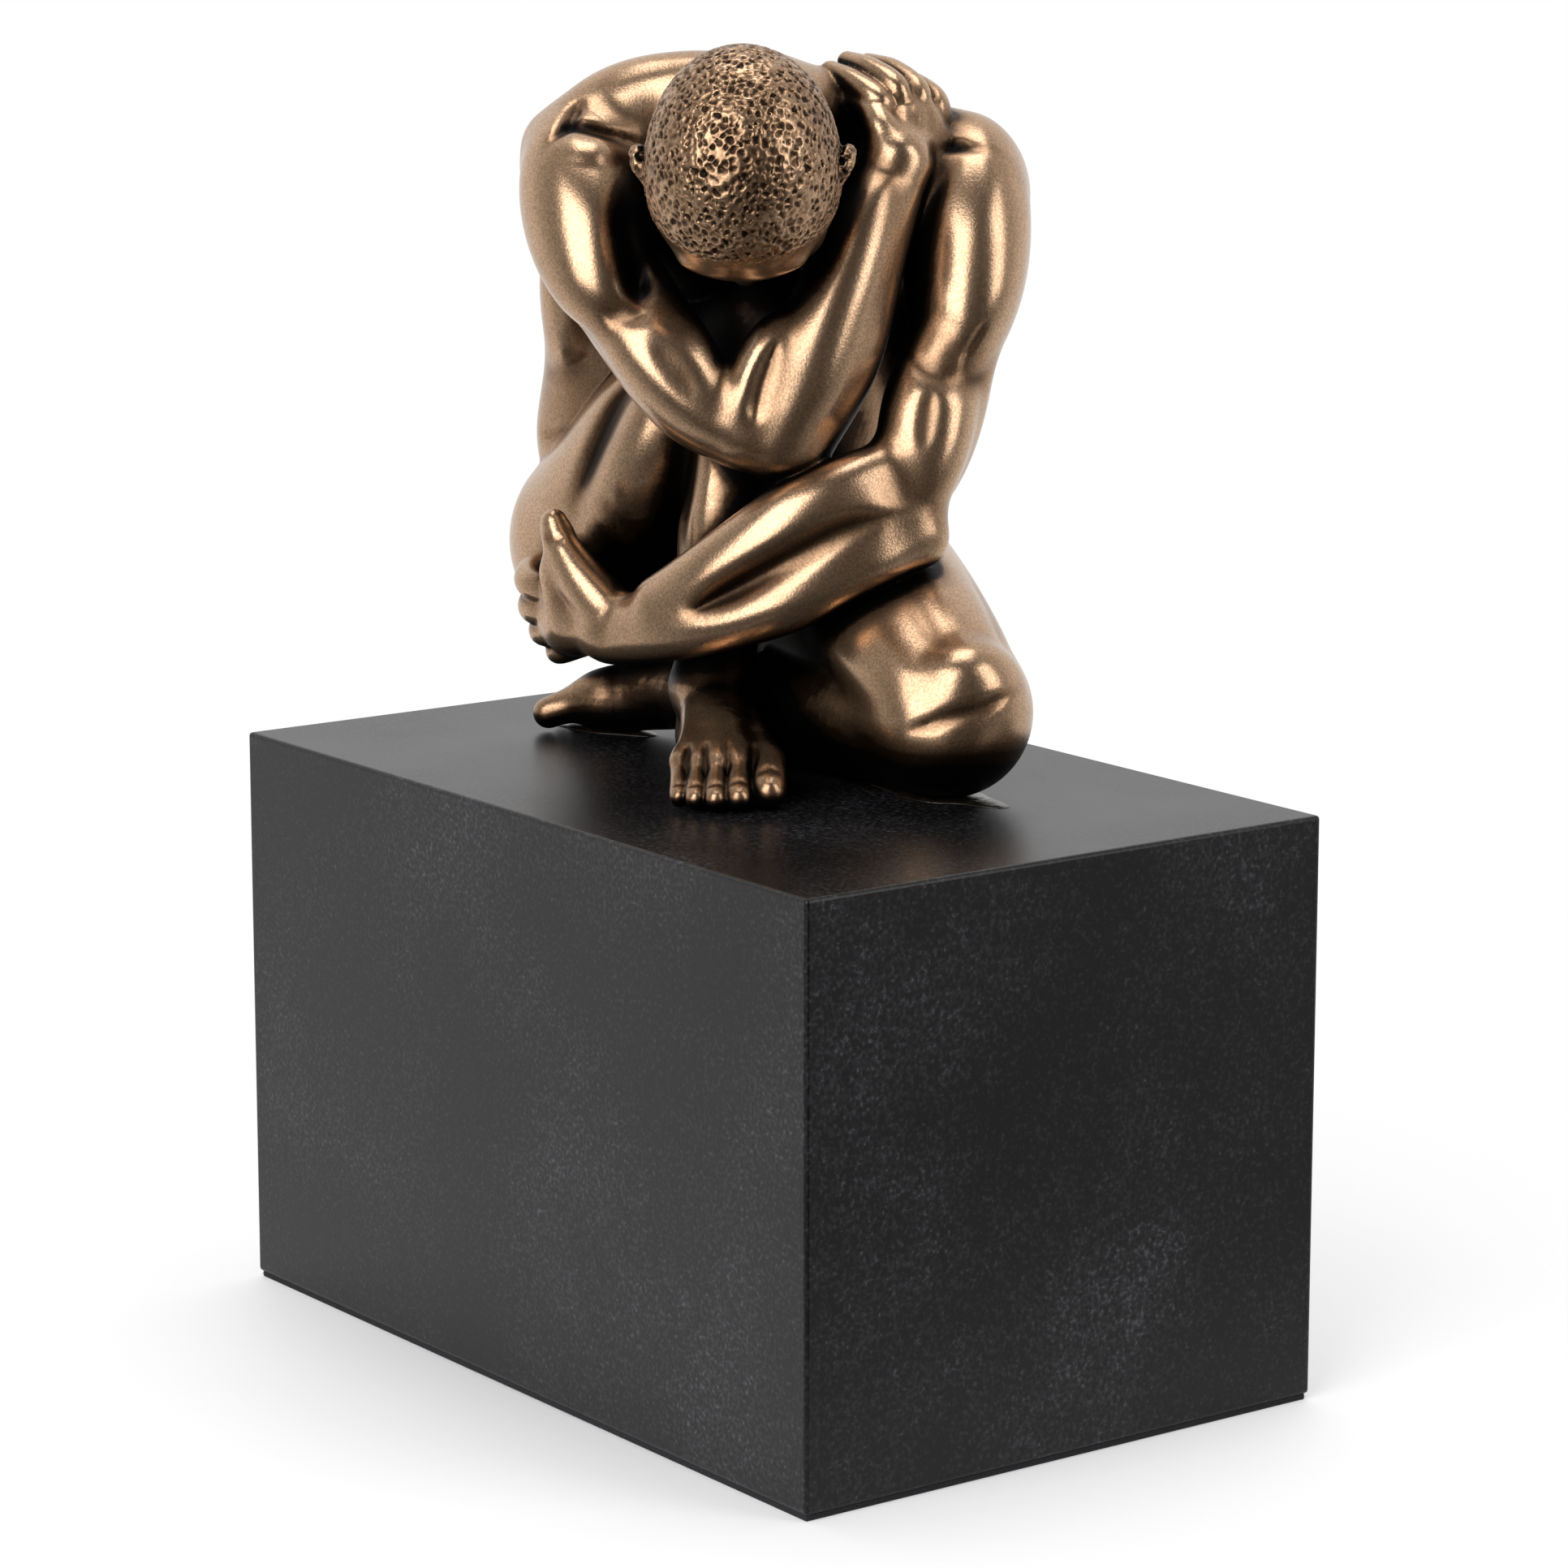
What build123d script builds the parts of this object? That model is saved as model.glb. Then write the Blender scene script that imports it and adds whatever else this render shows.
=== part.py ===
"""Crouching figure of cold-cast bronze on a black stone plinth.

The figure is cast in pieces: trunk, head, two arms, two legs and two feet. Steel dowels join
them, two studs bolt the legs down through the plinth, and adhesive beds what touches the stone.
"""
import os
from math import cos, radians, sin

from build123d import *

# Plinth and its felt
plinth_length = 150.0
plinth_width = 95.0
plinth_height = 89.5
plinth_arris = 0.6
felt_thickness = 1.0
felt_inset = 0.5
felt_corner = 1.5

# Stance of the figure on the plinth
figure_height = 113.0
figure_turn = 53.7

# Girths of the trunk, across and front to back
seat_width = 40.0
seat_depth = 26.0
hip_width = 58.0
hip_depth = 38.0
waist_width = 56.0
waist_depth = 36.0
rib_width = 58.0
rib_depth = 37.0
chest_width = 59.0
chest_depth = 34.0
girdle_width = 54.0
girdle_depth = 30.0
neck_width = 23.0
neck_depth = 21.0
yoke_width = 20.0
blade_width = 26.5
buttock_width = 29.0
spine_groove_width = 10.0
mantle_width = 12.6
mantle_end_width = 7.0

# Girths of the limbs
shoulder_width = 21.0
biceps_width = 18.5
arm_width = 15.8
lower_arm_width = 13.4
elbow_width = 12.6
forearm_width = 15.6
mid_forearm_width = 14.8
lower_forearm_width = 11.4
wrist_width = 10.5
wrist_depth = 7.6
thigh_width = 35.0
thigh_depth = 33.0
lower_thigh_width = 28.0
knee_width = 22.5
bent_knee_width = 26.0
calf_width = 22.0
lower_calf_width = 18.5
shin_width = 14.0
ankle_width = 12.0

# Hands
palm_width = 15.0
palm_depth = 6.4
finger_width = 3.9
finger_length = 17.0
fingertip_width = 3.2
thumb_width = 5.2
thumb_tip_width = 4.4

# Feet
heel_width = 11.5
heel_height = 10.0
instep_width = 13.5
instep_height = 12.5
ball_width = 17.0
ball_height = 7.4
toe_width = 3.8
toe_length = 11.0
big_toe_width = 5.6

# Head, with a plain face
head_width = 30.0
head_depth = 35.0
head_height = 40.0
nose_width = 5.0
ear_length = 10.0
ear_width = 5.5
ear_thickness = 3.0

# Adhesive beds
adhesive_thickness = 0.4
foot_bed_length = 26.0
foot_bed_width = 9.0
knee_bed_length = 40.0
knee_bed_width = 12.0
toe_bed_length = 20.0
toe_bed_width = 9.0

# Fixings
dowel_width = 3.0
dowel_length = 16.0
stud_width = 4.0
stud_grip = 8.0
stud_clearance = 0.25
socket_clearance = 0.1
stud_tail = 2.0
counterbore_width = 14.0
counterbore_depth = 12.0
washer_width = 12.0
washer_thickness = 1.0
nut_across_flats = 7.0
nut_thickness = 3.2

# Places of the figure, as shares of its height: to its left, to its back, and up
place_shares = {
    "seat": (-0.07, 0.38, 0.17),
    "hips": (-0.075, 0.385, 0.26),
    "waist": (-0.062, 0.385, 0.42),
    "ribs": (-0.05, 0.37, 0.60),
    "chest": (-0.008, 0.292, 0.752),
    "right_blade": (-0.165, 0.185, 0.823),
    "left_blade": (0.165, 0.19, 0.778),
    "girdle": (0.005, 0.225, 0.833),
    "neck_base": (0.0, 0.12, 0.865),
    "neck": (-0.01, 0.0, 0.86),
    "head": (-0.024, -0.125, 0.828),
    "right_shoulder": (-0.24, 0.09, 0.79),
    "right_biceps": (-0.205, 0.025, 0.695),
    "right_arm": (-0.15, -0.025, 0.59),
    "right_lower_arm": (-0.085, -0.06, 0.51),
    "right_elbow": (0.015, -0.08, 0.465),
    "right_forearm": (0.06, -0.07, 0.54),
    "right_mid_forearm": (0.095, -0.04, 0.63),
    "right_lower_forearm": (0.135, -0.005, 0.735),
    "right_wrist": (0.175, 0.035, 0.835),
    "right_palm": (0.175, 0.07, 0.885),
    "right_knuckles": (0.18, 0.11, 0.93),
    "right_thumb_root": (0.135, 0.06, 0.89),
    "right_thumb_joint": (0.105, 0.09, 0.925),
    "right_thumb_tip": (0.085, 0.125, 0.945),
    "left_shoulder": (0.27, 0.14, 0.77),
    "left_biceps": (0.265, 0.07, 0.665),
    "left_arm": (0.232, 0.01, 0.54),
    "left_lower_arm": (0.2, -0.035, 0.44),
    "left_elbow": (0.18, -0.06, 0.355),
    "left_forearm": (0.125, -0.095, 0.355),
    "left_mid_forearm": (0.025, -0.105, 0.31),
    "left_lower_forearm": (-0.105, -0.07, 0.235),
    "left_wrist": (-0.21, 0.02, 0.19),
    "left_palm": (-0.25, 0.07, 0.20),
    "left_knuckles": (-0.29, 0.12, 0.20),
    "left_thumb_root": (-0.24, 0.05, 0.23),
    "left_thumb_joint": (-0.27, 0.075, 0.285),
    "left_thumb_tip": (-0.29, 0.09, 0.335),
    "right_hip": (-0.21, 0.355, 0.265),
    "right_thigh": (-0.165, 0.29, 0.335),
    "right_mid_thigh": (-0.105, 0.23, 0.43),
    "right_lower_thigh": (-0.045, 0.17, 0.515),
    "right_knee": (0.02, 0.115, 0.585),
    "right_calf": (-0.01, 0.095, 0.46),
    "right_lower_calf": (-0.035, 0.07, 0.335),
    "right_shin": (-0.06, 0.03, 0.21),
    "right_ankle": (-0.07, 0.0, 0.125),
    "right_heel": (-0.075, 0.035, 0.045),
    "right_instep": (-0.065, -0.075, 0.05),
    "right_ball": (-0.053, -0.18, 0.033),
    "left_hip": (0.05, 0.35, 0.225),
    "left_thigh": (0.105, 0.25, 0.22),
    "left_mid_thigh": (0.15, 0.09, 0.21),
    "left_lower_thigh": (0.205, -0.06, 0.175),
    "left_knee": (0.245, -0.17, 0.115),
    "left_calf": (0.17, -0.07, 0.095),
    "left_lower_calf": (0.08, 0.035, 0.09),
    "left_shin": (-0.02, 0.14, 0.08),
    "left_ankle": (-0.09, 0.22, 0.075),
    "left_instep": (-0.16, 0.275, 0.06),
    "left_ball": (-0.21, 0.315, 0.045),
    "right_buttock": (-0.185, 0.42, 0.215),
    "left_buttock": (0.02, 0.42, 0.21),
    "right_mantle_end": (-0.279, 0.119, 0.842),
    "right_mantle": (-0.195, 0.133, 0.893),
    "right_nape": (-0.106, 0.130, 0.911),
    "nape": (0.0, 0.09, 0.906),
    "left_nape": (0.106, 0.142, 0.880),
    "left_mantle": (0.212, 0.159, 0.842),
    "left_mantle_end": (0.290, 0.159, 0.803),
    "spine_foot": (-0.072, 0.615, 0.15),
    "spine_hips": (-0.07, 0.579, 0.25),
    "spine_waist": (-0.066, 0.573, 0.425),
    "spine_ribs": (-0.053, 0.561, 0.593),
    "spine_blades": (-0.013, 0.484, 0.797),
    "spine_top": (0.0, 0.385, 0.925),
    "right_stud": (-0.062, -0.085, 0.0),
    "left_stud": (0.085, 0.03, 0.0),
}

# Ways of the figure in the same three parts
way_shares = {
    "left": (1, 0, 0),
    "up": (0, 0, 1),
    "crown": (-0.05, -0.98, 0.18),
    "face": (0.0, -0.18, -0.98),
    "right_arm_side": (-0.17, -0.89, 0.34),
    "left_arm_side": (0.2, 0.8, -0.33),
    "right_fingers": (-0.35, 0.90, 0.12),
    "right_fingers_curl": (-0.45, 0.75, -0.35),
    "right_knuckle_line": (0.92, 0.15, -0.28),
    "left_fingers": (-0.15, 0.95, 0.05),
    "left_fingers_curl": (0.55, 0.80, 0.0),
    "left_knuckle_line": (-0.40, 0.10, 0.90),
    "right_toes": (0.05, -1, -0.05),
    "right_toes_level": (0.05, -1, 0),
    "right_big_toe": (1, 0, 0),
    "left_toes": (-0.82, 0.57, -0.12),
    "left_big_toe": (-0.50, -0.75, -0.35),
}

# Sections of the head from chin to crown: height, reach to the face, width and depth
head_section_shares = (
    (-0.50, 0.24, 0.40, 0.30),
    (-0.40, 0.16, 0.62, 0.54),
    (-0.28, 0.08, 0.78, 0.74),
    (-0.15, 0.03, 0.88, 0.90),
    (0.04, 0.0, 0.97, 0.98),
    (0.20, -0.01, 1.0, 1.0),
    (0.36, -0.02, 0.86, 0.86),
    (0.46, -0.03, 0.56, 0.56),
    (0.50, -0.03, 0.20, 0.20),
)
nose_root_shares = (0.05, 0.47)
nose_tip_shares = (-0.12, 0.53)
ear_shares = (-0.05, -0.06)
ear_sink_share = 0.5

# Balls of the joints, against the limbs that meet there
joint_swell_share = 1.06

# Digits, counted from the index finger and from the big toe
finger_row_shares = (0.38, 0.13, -0.12, -0.36)
finger_reach_shares = (0.94, 1.0, 0.95, 0.78)
toe_row_shares = (0.34, 0.10, -0.10, -0.27, -0.42)
toe_reach_shares = (1.0, 0.98, 0.86, 0.72, 0.55)
toe_root_share = 0.3
toe_tip_share = 0.6
finger_root_share = 0.2

# Dowels: the two places that each runs between, and how far along that line its middle lies
dowel_shares = {
    "neck_dowel": ("neck_base", "neck", 1.0),
    "right_shoulder_dowel": ("girdle", "right_shoulder", 1.0),
    "left_shoulder_dowel": ("girdle", "left_shoulder", 1.0),
    "right_hip_dowel": ("waist", "right_thigh", 0.6),
    "left_hip_dowel": ("hips", "left_thigh", 0.6),
    "right_ankle_dowel": ("right_shin", "right_ankle", 1.0),
    "left_ankle_dowel": ("left_shin", "left_ankle", 1.0),
}

figure_base = Plane(
    origin=(0, 0, felt_thickness + plinth_height),
    x_dir=(cos(radians(figure_turn)), sin(radians(figure_turn)), 0),
    z_dir=(0, 0, 1),
)
casting_base = figure_base.offset(adhesive_thickness)


def at(shares):
    """Return the point of the model at these shares of the figure's height."""
    return figure_base.from_local_coords(Vector(*shares) * figure_height)


place = {name: at(shares) for name, shares in place_shares.items()}
way = {name: (at(shares) - figure_base.origin).normalized() for name, shares in way_shares.items()}


def stations(side, *rows):
    """Return planes square to a limb's course, with the width and depth of each section."""
    sections = []
    for index, row in enumerate(rows):
        course = rows[min(index + 1, len(rows) - 1)][0] - rows[max(index - 1, 0)][0]
        across = side - course * (side.dot(course) / course.dot(course))
        plane = Plane(origin=row[0], x_dir=across, z_dir=course)
        sections.append((plane, row[1], row[-1]))
    return sections


def limb(side, names, *girths):
    """Return the stations of a limb through named places, with a girth at each."""
    return stations(side, *[(place[name], *girth) for name, girth in zip(names, girths)])


def fingers(hand):
    """Return the stations of the four fingers of one hand."""
    digits = []
    for row_share, reach_share in zip(finger_row_shares, finger_reach_shares):
        knuckle = place[hand + "_knuckles"] + way[hand + "_knuckle_line"] * (palm_width * row_share)
        root = knuckle - way[hand + "_fingers"] * (finger_length * finger_root_share)
        joint = knuckle + way[hand + "_fingers"] * (finger_length * reach_share / 2)
        tip = joint + way[hand + "_fingers_curl"] * (finger_length * reach_share / 2)
        rows = ((root, finger_width), (joint, finger_width), (tip, fingertip_width))
        digits.append(stations(way[hand + "_knuckle_line"], *rows))
    return digits


def toes(foot):
    """Return the stations of the five toes of one foot."""
    digits = []
    ahead = way[foot + "_toes"]
    inner = way[foot + "_big_toe"]
    for index, row_share in enumerate(toe_row_shares):
        width = big_toe_width if index == 0 else toe_width
        knuckle = place[foot + "_ball"] + inner * (ball_width * row_share)
        root = knuckle - ahead * (toe_length * toe_root_share)
        tip = knuckle + ahead * (toe_length * toe_reach_shares[index])
        rows = ((root, width), (knuckle, width), (tip, width * toe_tip_share))
        digits.append(stations(inner, *rows))
    return digits


def ground(*names):
    """Return the point of the plinth's top under the middle of the named places."""
    middle = sum((place[name] for name in names), Vector(0, 0, 0)) / len(names)
    return Vector(middle.X, middle.Y, figure_base.origin.Z)


stud_spots = [ground("right_stud"), ground("left_stud")]
washer_seat = felt_thickness + counterbore_depth
stud_foot = washer_seat - washer_thickness - nut_thickness - stud_tail
stud_head = casting_base.origin.Z + stud_grip

# Felt under the plinth
with BuildPart() as felt_pad:
    with BuildSketch():
        RectangleRounded(plinth_length - 2 * felt_inset, plinth_width - 2 * felt_inset, felt_corner)
    extrude(amount=felt_thickness)

# Stone plinth, bored for the studs and counterbored from below
with BuildPart() as plinth:
    with BuildSketch(Plane.XY.offset(felt_thickness)):
        Rectangle(plinth_length, plinth_width)
    extrude(amount=plinth_height)
    chamfer(plinth.edges(), plinth_arris)
    mouths = [Plane(origin=(spot.X, spot.Y, felt_thickness), z_dir=(0, 0, -1)) for spot in stud_spots]
    with Locations(*mouths):
        CounterBoreHole(
            radius=stud_width / 2 + stud_clearance,
            counter_bore_radius=counterbore_width / 2,
            counter_bore_depth=counterbore_depth,
            depth=plinth_height,
        )

# Studs, their sockets in the castings, washers and nuts that pull the legs down on the plinth
with BuildPart() as fixing_studs:
    with BuildSketch(Plane.XY.offset(stud_foot)):
        with Locations(*[(spot.X, spot.Y) for spot in stud_spots]):
            Circle(stud_width / 2)
    extrude(amount=stud_head - stud_foot)

with BuildPart() as stud_sockets:
    with BuildSketch(Plane.XY.offset(stud_foot)):
        with Locations(*[(spot.X, spot.Y) for spot in stud_spots]):
            Circle(stud_width / 2 + socket_clearance)
    extrude(amount=stud_head + socket_clearance - stud_foot)

with BuildPart() as fixing_washers:
    with BuildSketch(Plane.XY.offset(washer_seat - washer_thickness)):
        with Locations(*[(spot.X, spot.Y) for spot in stud_spots]):
            Circle(washer_width / 2)
            Circle(stud_width / 2, mode=Mode.SUBTRACT)
    extrude(amount=washer_thickness)

with BuildPart() as fixing_nuts:
    with BuildSketch(Plane.XY.offset(washer_seat - washer_thickness - nut_thickness)):
        with Locations(*[(spot.X, spot.Y) for spot in stud_spots]):
            RegularPolygon(nut_across_flats / 2, 6, major_radius=False)
            Circle(stud_width / 2, mode=Mode.SUBTRACT)
    extrude(amount=nut_thickness)

# Dowels across the seams of the castings
dowels = {}
for name, (start, end, along_share) in dowel_shares.items():
    course = place[end] - place[start]
    with BuildPart() as dowel:
        with BuildSketch(Plane(origin=place[start] + course * along_share, z_dir=course)):
            Circle(dowel_width / 2)
        extrude(amount=dowel_length / 2, both=True)
    dowels[name] = dowel

# Adhesive beds between the castings and the stone
with BuildPart() as right_foot_adhesive:
    along = way["right_toes_level"]
    with BuildSketch(Plane(ground("right_heel", "right_ball"), x_dir=along, z_dir=way["up"])):
        Ellipse(foot_bed_length / 2, foot_bed_width / 2)
    extrude(amount=adhesive_thickness)
    add(stud_sockets.part, mode=Mode.SUBTRACT)

with BuildPart() as left_knee_adhesive:
    along = ground("left_lower_calf") - ground("left_knee")
    with BuildSketch(Plane(ground("left_knee", "left_calf"), x_dir=along, z_dir=way["up"])):
        Ellipse(knee_bed_length / 2, knee_bed_width / 2)
    extrude(amount=adhesive_thickness)
    add(stud_sockets.part, mode=Mode.SUBTRACT)

with BuildPart() as left_foot_adhesive:
    along = ground("left_ball") - ground("left_instep")
    with BuildSketch(Plane(ground("left_ball"), x_dir=along, z_dir=way["up"])):
        Ellipse(toe_bed_length / 2, toe_bed_width / 2)
    extrude(amount=adhesive_thickness)

# Trunk: pelvis, belly, ribs, shoulder girdle and neck
with BuildPart() as torso:
    trunk = limb(
        way["left"],
        ("seat", "hips", "waist", "ribs", "chest", "girdle", "neck_base", "neck"),
        (seat_width, seat_depth),
        (hip_width, hip_depth),
        (waist_width, waist_depth),
        (rib_width, rib_depth),
        (chest_width, chest_depth),
        (girdle_width, girdle_depth),
        (neck_width, neck_depth),
        (neck_width, neck_depth),
    )
    yoke = limb(
        way["up"],
        ("right_shoulder", "right_blade", "girdle", "left_blade", "left_shoulder"),
        (yoke_width,),
        (blade_width,),
        (girdle_depth,),
        (blade_width,),
        (yoke_width,),
    )
    mantle = limb(
        way["up"],
        (
            "right_mantle_end",
            "right_mantle",
            "right_nape",
            "nape",
            "left_nape",
            "left_mantle",
            "left_mantle_end",
        ),
        (mantle_end_width,),
        *[(mantle_width,)] * 5,
        (mantle_end_width,),
    )
    for bone in (trunk, yoke, mantle):
        for plane, width, depth in bone:
            with BuildSketch(plane):
                Ellipse(width / 2, depth / 2)
        loft()
    with Locations(place["right_buttock"], place["left_buttock"]):
        Sphere(buttock_width / 2)
    spine_groove = limb(
        way["left"],
        ("spine_foot", "spine_hips", "spine_waist", "spine_ribs", "spine_blades", "spine_top"),
        *[(spine_groove_width,)] * 6,
    )
    for plane, width, depth in spine_groove:
        with BuildSketch(plane):
            Circle(width / 2)
    loft(mode=Mode.SUBTRACT)
    for name in ("neck", "right_shoulder", "left_shoulder", "right_hip", "left_hip"):
        add(dowels[name + "_dowel"].part, mode=Mode.SUBTRACT)

# Head: skull and jaw, nose and ears
with BuildPart() as head:
    for height_share, reach_share, width_share, depth_share in head_section_shares:
        middle = place["head"] + way["crown"] * (head_height * height_share)
        middle += way["face"] * (head_depth * reach_share)
        with BuildSketch(Plane(origin=middle, x_dir=way["face"], z_dir=way["crown"])):
            Ellipse(head_depth * depth_share / 2, head_width * width_share / 2)
    loft()
    nose_ends = []
    for height_share, reach_share in (nose_root_shares, nose_tip_shares):
        end = place["head"] + way["crown"] * (head_height * height_share)
        nose_ends.append(end + way["face"] * (head_depth * reach_share))
    for plane, width, depth in stations(
        way["left"], (nose_ends[0], nose_width / 2), (nose_ends[1], nose_width)
    ):
        with BuildSketch(plane):
            Circle(width / 2)
    loft()
    with Locations(nose_ends[1]):
        Sphere(nose_width / 2)
    ear_middle = place["head"] + way["crown"] * (head_height * ear_shares[0])
    ear_middle += way["face"] * (head_depth * ear_shares[1])
    for ear_side in (way["left"], -way["left"]):
        ear_root = ear_middle + ear_side * (head_width / 2 - ear_thickness * ear_sink_share)
        with BuildSketch(Plane(origin=ear_root, x_dir=way["crown"], z_dir=ear_side)):
            Ellipse(ear_length / 2, ear_width / 2)
        extrude(amount=ear_thickness)
    add(torso.part, mode=Mode.SUBTRACT)
    add(dowels["neck_dowel"].part, mode=Mode.SUBTRACT)

# Right leg: thigh drawn up to the chest, shin upright
with BuildPart() as right_leg:
    thigh = limb(
        way["left"],
        ("right_hip", "right_thigh", "right_mid_thigh", "right_lower_thigh", "right_knee"),
        (thigh_width, thigh_depth),
        (thigh_width, thigh_depth),
        (thigh_depth,),
        (lower_thigh_width,),
        (knee_width,),
    )
    shin = limb(
        way["left"],
        ("right_knee", "right_calf", "right_lower_calf", "right_shin", "right_ankle"),
        (knee_width,),
        (calf_width,),
        (lower_calf_width,),
        (shin_width,),
        (ankle_width,),
    )
    for bone in (thigh, shin):
        for plane, width, depth in bone:
            with BuildSketch(plane):
                Ellipse(width / 2, depth / 2)
        loft()
    for name, width in (("right_hip", thigh_width), ("right_knee", knee_width)):
        with Locations(place[name]):
            Sphere(joint_swell_share * width / 2)
    add(torso.part, mode=Mode.SUBTRACT)
    for name in ("right_hip", "right_ankle"):
        add(dowels[name + "_dowel"].part, mode=Mode.SUBTRACT)
right_ankle_station = shin[-1]

# Right foot: flat on the stone, toes forward
with BuildPart() as right_foot:
    sole = limb(
        way["left"],
        ("right_heel", "right_instep", "right_ball"),
        (heel_width, heel_height),
        (instep_width, instep_height),
        (ball_width, ball_height),
    )
    ankle = limb(way["left"], ("right_heel", "right_ankle"), (heel_width,), (ankle_width,))
    ankle[-1] = right_ankle_station
    for bone in (sole, ankle, *toes("right")):
        for plane, width, depth in bone:
            with BuildSketch(plane):
                Ellipse(width / 2, depth / 2)
        loft()
    with Locations(place["right_heel"]):
        Sphere(joint_swell_share * heel_width / 2)
    for neighbour in (stud_sockets, dowels["right_ankle_dowel"]):
        add(neighbour.part, mode=Mode.SUBTRACT)
    split(bisect_by=casting_base, keep=Keep.TOP)

# Left leg: folded under the figure, knee and shin on the stone
with BuildPart() as left_leg:
    thigh = limb(
        way["up"],
        ("left_hip", "left_thigh", "left_mid_thigh", "left_lower_thigh", "left_knee"),
        (thigh_width, thigh_depth),
        (thigh_width, thigh_depth),
        (thigh_depth,),
        (lower_thigh_width,),
        (bent_knee_width,),
    )
    shin = limb(
        way["up"],
        ("left_knee", "left_calf", "left_lower_calf", "left_shin", "left_ankle"),
        (bent_knee_width,),
        (calf_width,),
        (lower_calf_width,),
        (shin_width,),
        (ankle_width,),
    )
    for bone in (thigh, shin):
        for plane, width, depth in bone:
            with BuildSketch(plane):
                Ellipse(width / 2, depth / 2)
        loft()
    for name, width in (("left_hip", thigh_width), ("left_knee", bent_knee_width)):
        with Locations(place[name]):
            Sphere(joint_swell_share * width / 2)
    for neighbour in (torso, right_leg, right_foot, stud_sockets):
        add(neighbour.part, mode=Mode.SUBTRACT)
    for name in ("left_hip", "left_ankle"):
        add(dowels[name + "_dowel"].part, mode=Mode.SUBTRACT)
    split(bisect_by=casting_base, keep=Keep.TOP)
left_ankle_station = shin[-1]

# Left foot: turned out behind, on its inner edge
with BuildPart() as left_foot:
    sole = limb(
        way["left_big_toe"],
        ("left_ankle", "left_instep", "left_ball"),
        (ankle_width,),
        (instep_width, instep_height),
        (ball_width, ball_height),
    )
    sole[0] = left_ankle_station
    for bone in (sole, *toes("left")):
        for plane, width, depth in bone:
            with BuildSketch(plane):
                Ellipse(width / 2, depth / 2)
        loft()
    for neighbour in (torso, right_leg, left_leg, dowels["left_ankle_dowel"]):
        add(neighbour.part, mode=Mode.SUBTRACT)
    split(bisect_by=casting_base, keep=Keep.TOP)

upper_arm_names = ("shoulder", "biceps", "arm", "lower_arm", "elbow")
upper_arm_girths = ((shoulder_width,), (biceps_width,), (arm_width,), (lower_arm_width,), (elbow_width,))
forearm_names = ("elbow", "forearm", "mid_forearm", "lower_forearm", "wrist")
forearm_girths = (
    (elbow_width,),
    (forearm_width,),
    (mid_forearm_width,),
    (lower_forearm_width,),
    (wrist_width,),
)
palm_names = ("wrist", "palm", "knuckles")
palm_girths = ((wrist_width, wrist_depth), (palm_width, palm_depth), (palm_width, palm_depth))
thumb_names = ("thumb_root", "thumb_joint", "thumb_tip")
thumb_girths = ((thumb_width,), (thumb_width,), (thumb_tip_width,))


def arm_limbs(hand):
    """Return the stations of one arm: upper arm, forearm, palm, thumb and fingers."""
    side = way[hand + "_arm_side"]
    across = way[hand + "_knuckle_line"]
    return (
        limb(side, [f"{hand}_{name}" for name in upper_arm_names], *upper_arm_girths),
        limb(side, [f"{hand}_{name}" for name in forearm_names], *forearm_girths),
        limb(across, [f"{hand}_{name}" for name in palm_names], *palm_girths),
        limb(way["left"], [f"{hand}_{name}" for name in thumb_names], *thumb_girths),
        *fingers(hand),
    )


# Right arm: bent across the raised knee, hand on the nape
with BuildPart() as right_arm:
    upper, lower, palm, *digits = arm_limbs("right")
    for plane, width, depth in upper:
        with BuildSketch(plane):
            Ellipse(width / 2, depth / 2)
    loft()
    for name, width in (("right_shoulder", shoulder_width), ("right_elbow", elbow_width)):
        with Locations(place[name]):
            Sphere(joint_swell_share * width / 2)
    for bone in (lower, palm, *digits):
        for plane, width, depth in bone:
            with BuildSketch(plane):
                Ellipse(width / 2, depth / 2)
        loft()
    for digit in digits:
        with Locations(digit[-1][0].origin):
            Sphere(joint_swell_share * digit[-1][1] / 2)
    for neighbour in (torso, head, right_leg, left_leg, dowels["right_shoulder_dowel"]):
        add(neighbour.part, mode=Mode.SUBTRACT)

# Left arm: laid across the shin, hand under the right thigh
with BuildPart() as left_arm:
    upper, lower, palm, *digits = arm_limbs("left")
    for plane, width, depth in upper:
        with BuildSketch(plane):
            Ellipse(width / 2, depth / 2)
    loft()
    for name, width in (("left_shoulder", shoulder_width), ("left_elbow", elbow_width)):
        with Locations(place[name]):
            Sphere(joint_swell_share * width / 2)
    for bone in (lower, palm, *digits):
        for plane, width, depth in bone:
            with BuildSketch(plane):
                Ellipse(width / 2, depth / 2)
        loft()
    for digit in digits:
        with Locations(digit[-1][0].origin):
            Sphere(joint_swell_share * digit[-1][1] / 2)
    for neighbour in (torso, right_leg, left_leg, right_arm, dowels["left_shoulder_dowel"]):
        add(neighbour.part, mode=Mode.SUBTRACT)

sub_parts = {
    "plinth": plinth,
    "felt_pad": felt_pad,
    "torso_casting": torso,
    "head_casting": head,
    "right_arm_casting": right_arm,
    "left_arm_casting": left_arm,
    "right_leg_casting": right_leg,
    "left_leg_casting": left_leg,
    "right_foot_casting": right_foot,
    "left_foot_casting": left_foot,
    "right_foot_adhesive": right_foot_adhesive,
    "left_knee_adhesive": left_knee_adhesive,
    "left_foot_adhesive": left_foot_adhesive,
    "fixing_studs": fixing_studs,
    "fixing_washers": fixing_washers,
    "fixing_nuts": fixing_nuts,
    **dowels,
}
os.makedirs("parts", exist_ok=True)
for name, sub_part in sub_parts.items():
    sub_part.part.label = name
    export_step(sub_part.part, f"parts/{name}.step")
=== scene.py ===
import math
from concurrent.futures import ThreadPoolExecutor

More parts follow.
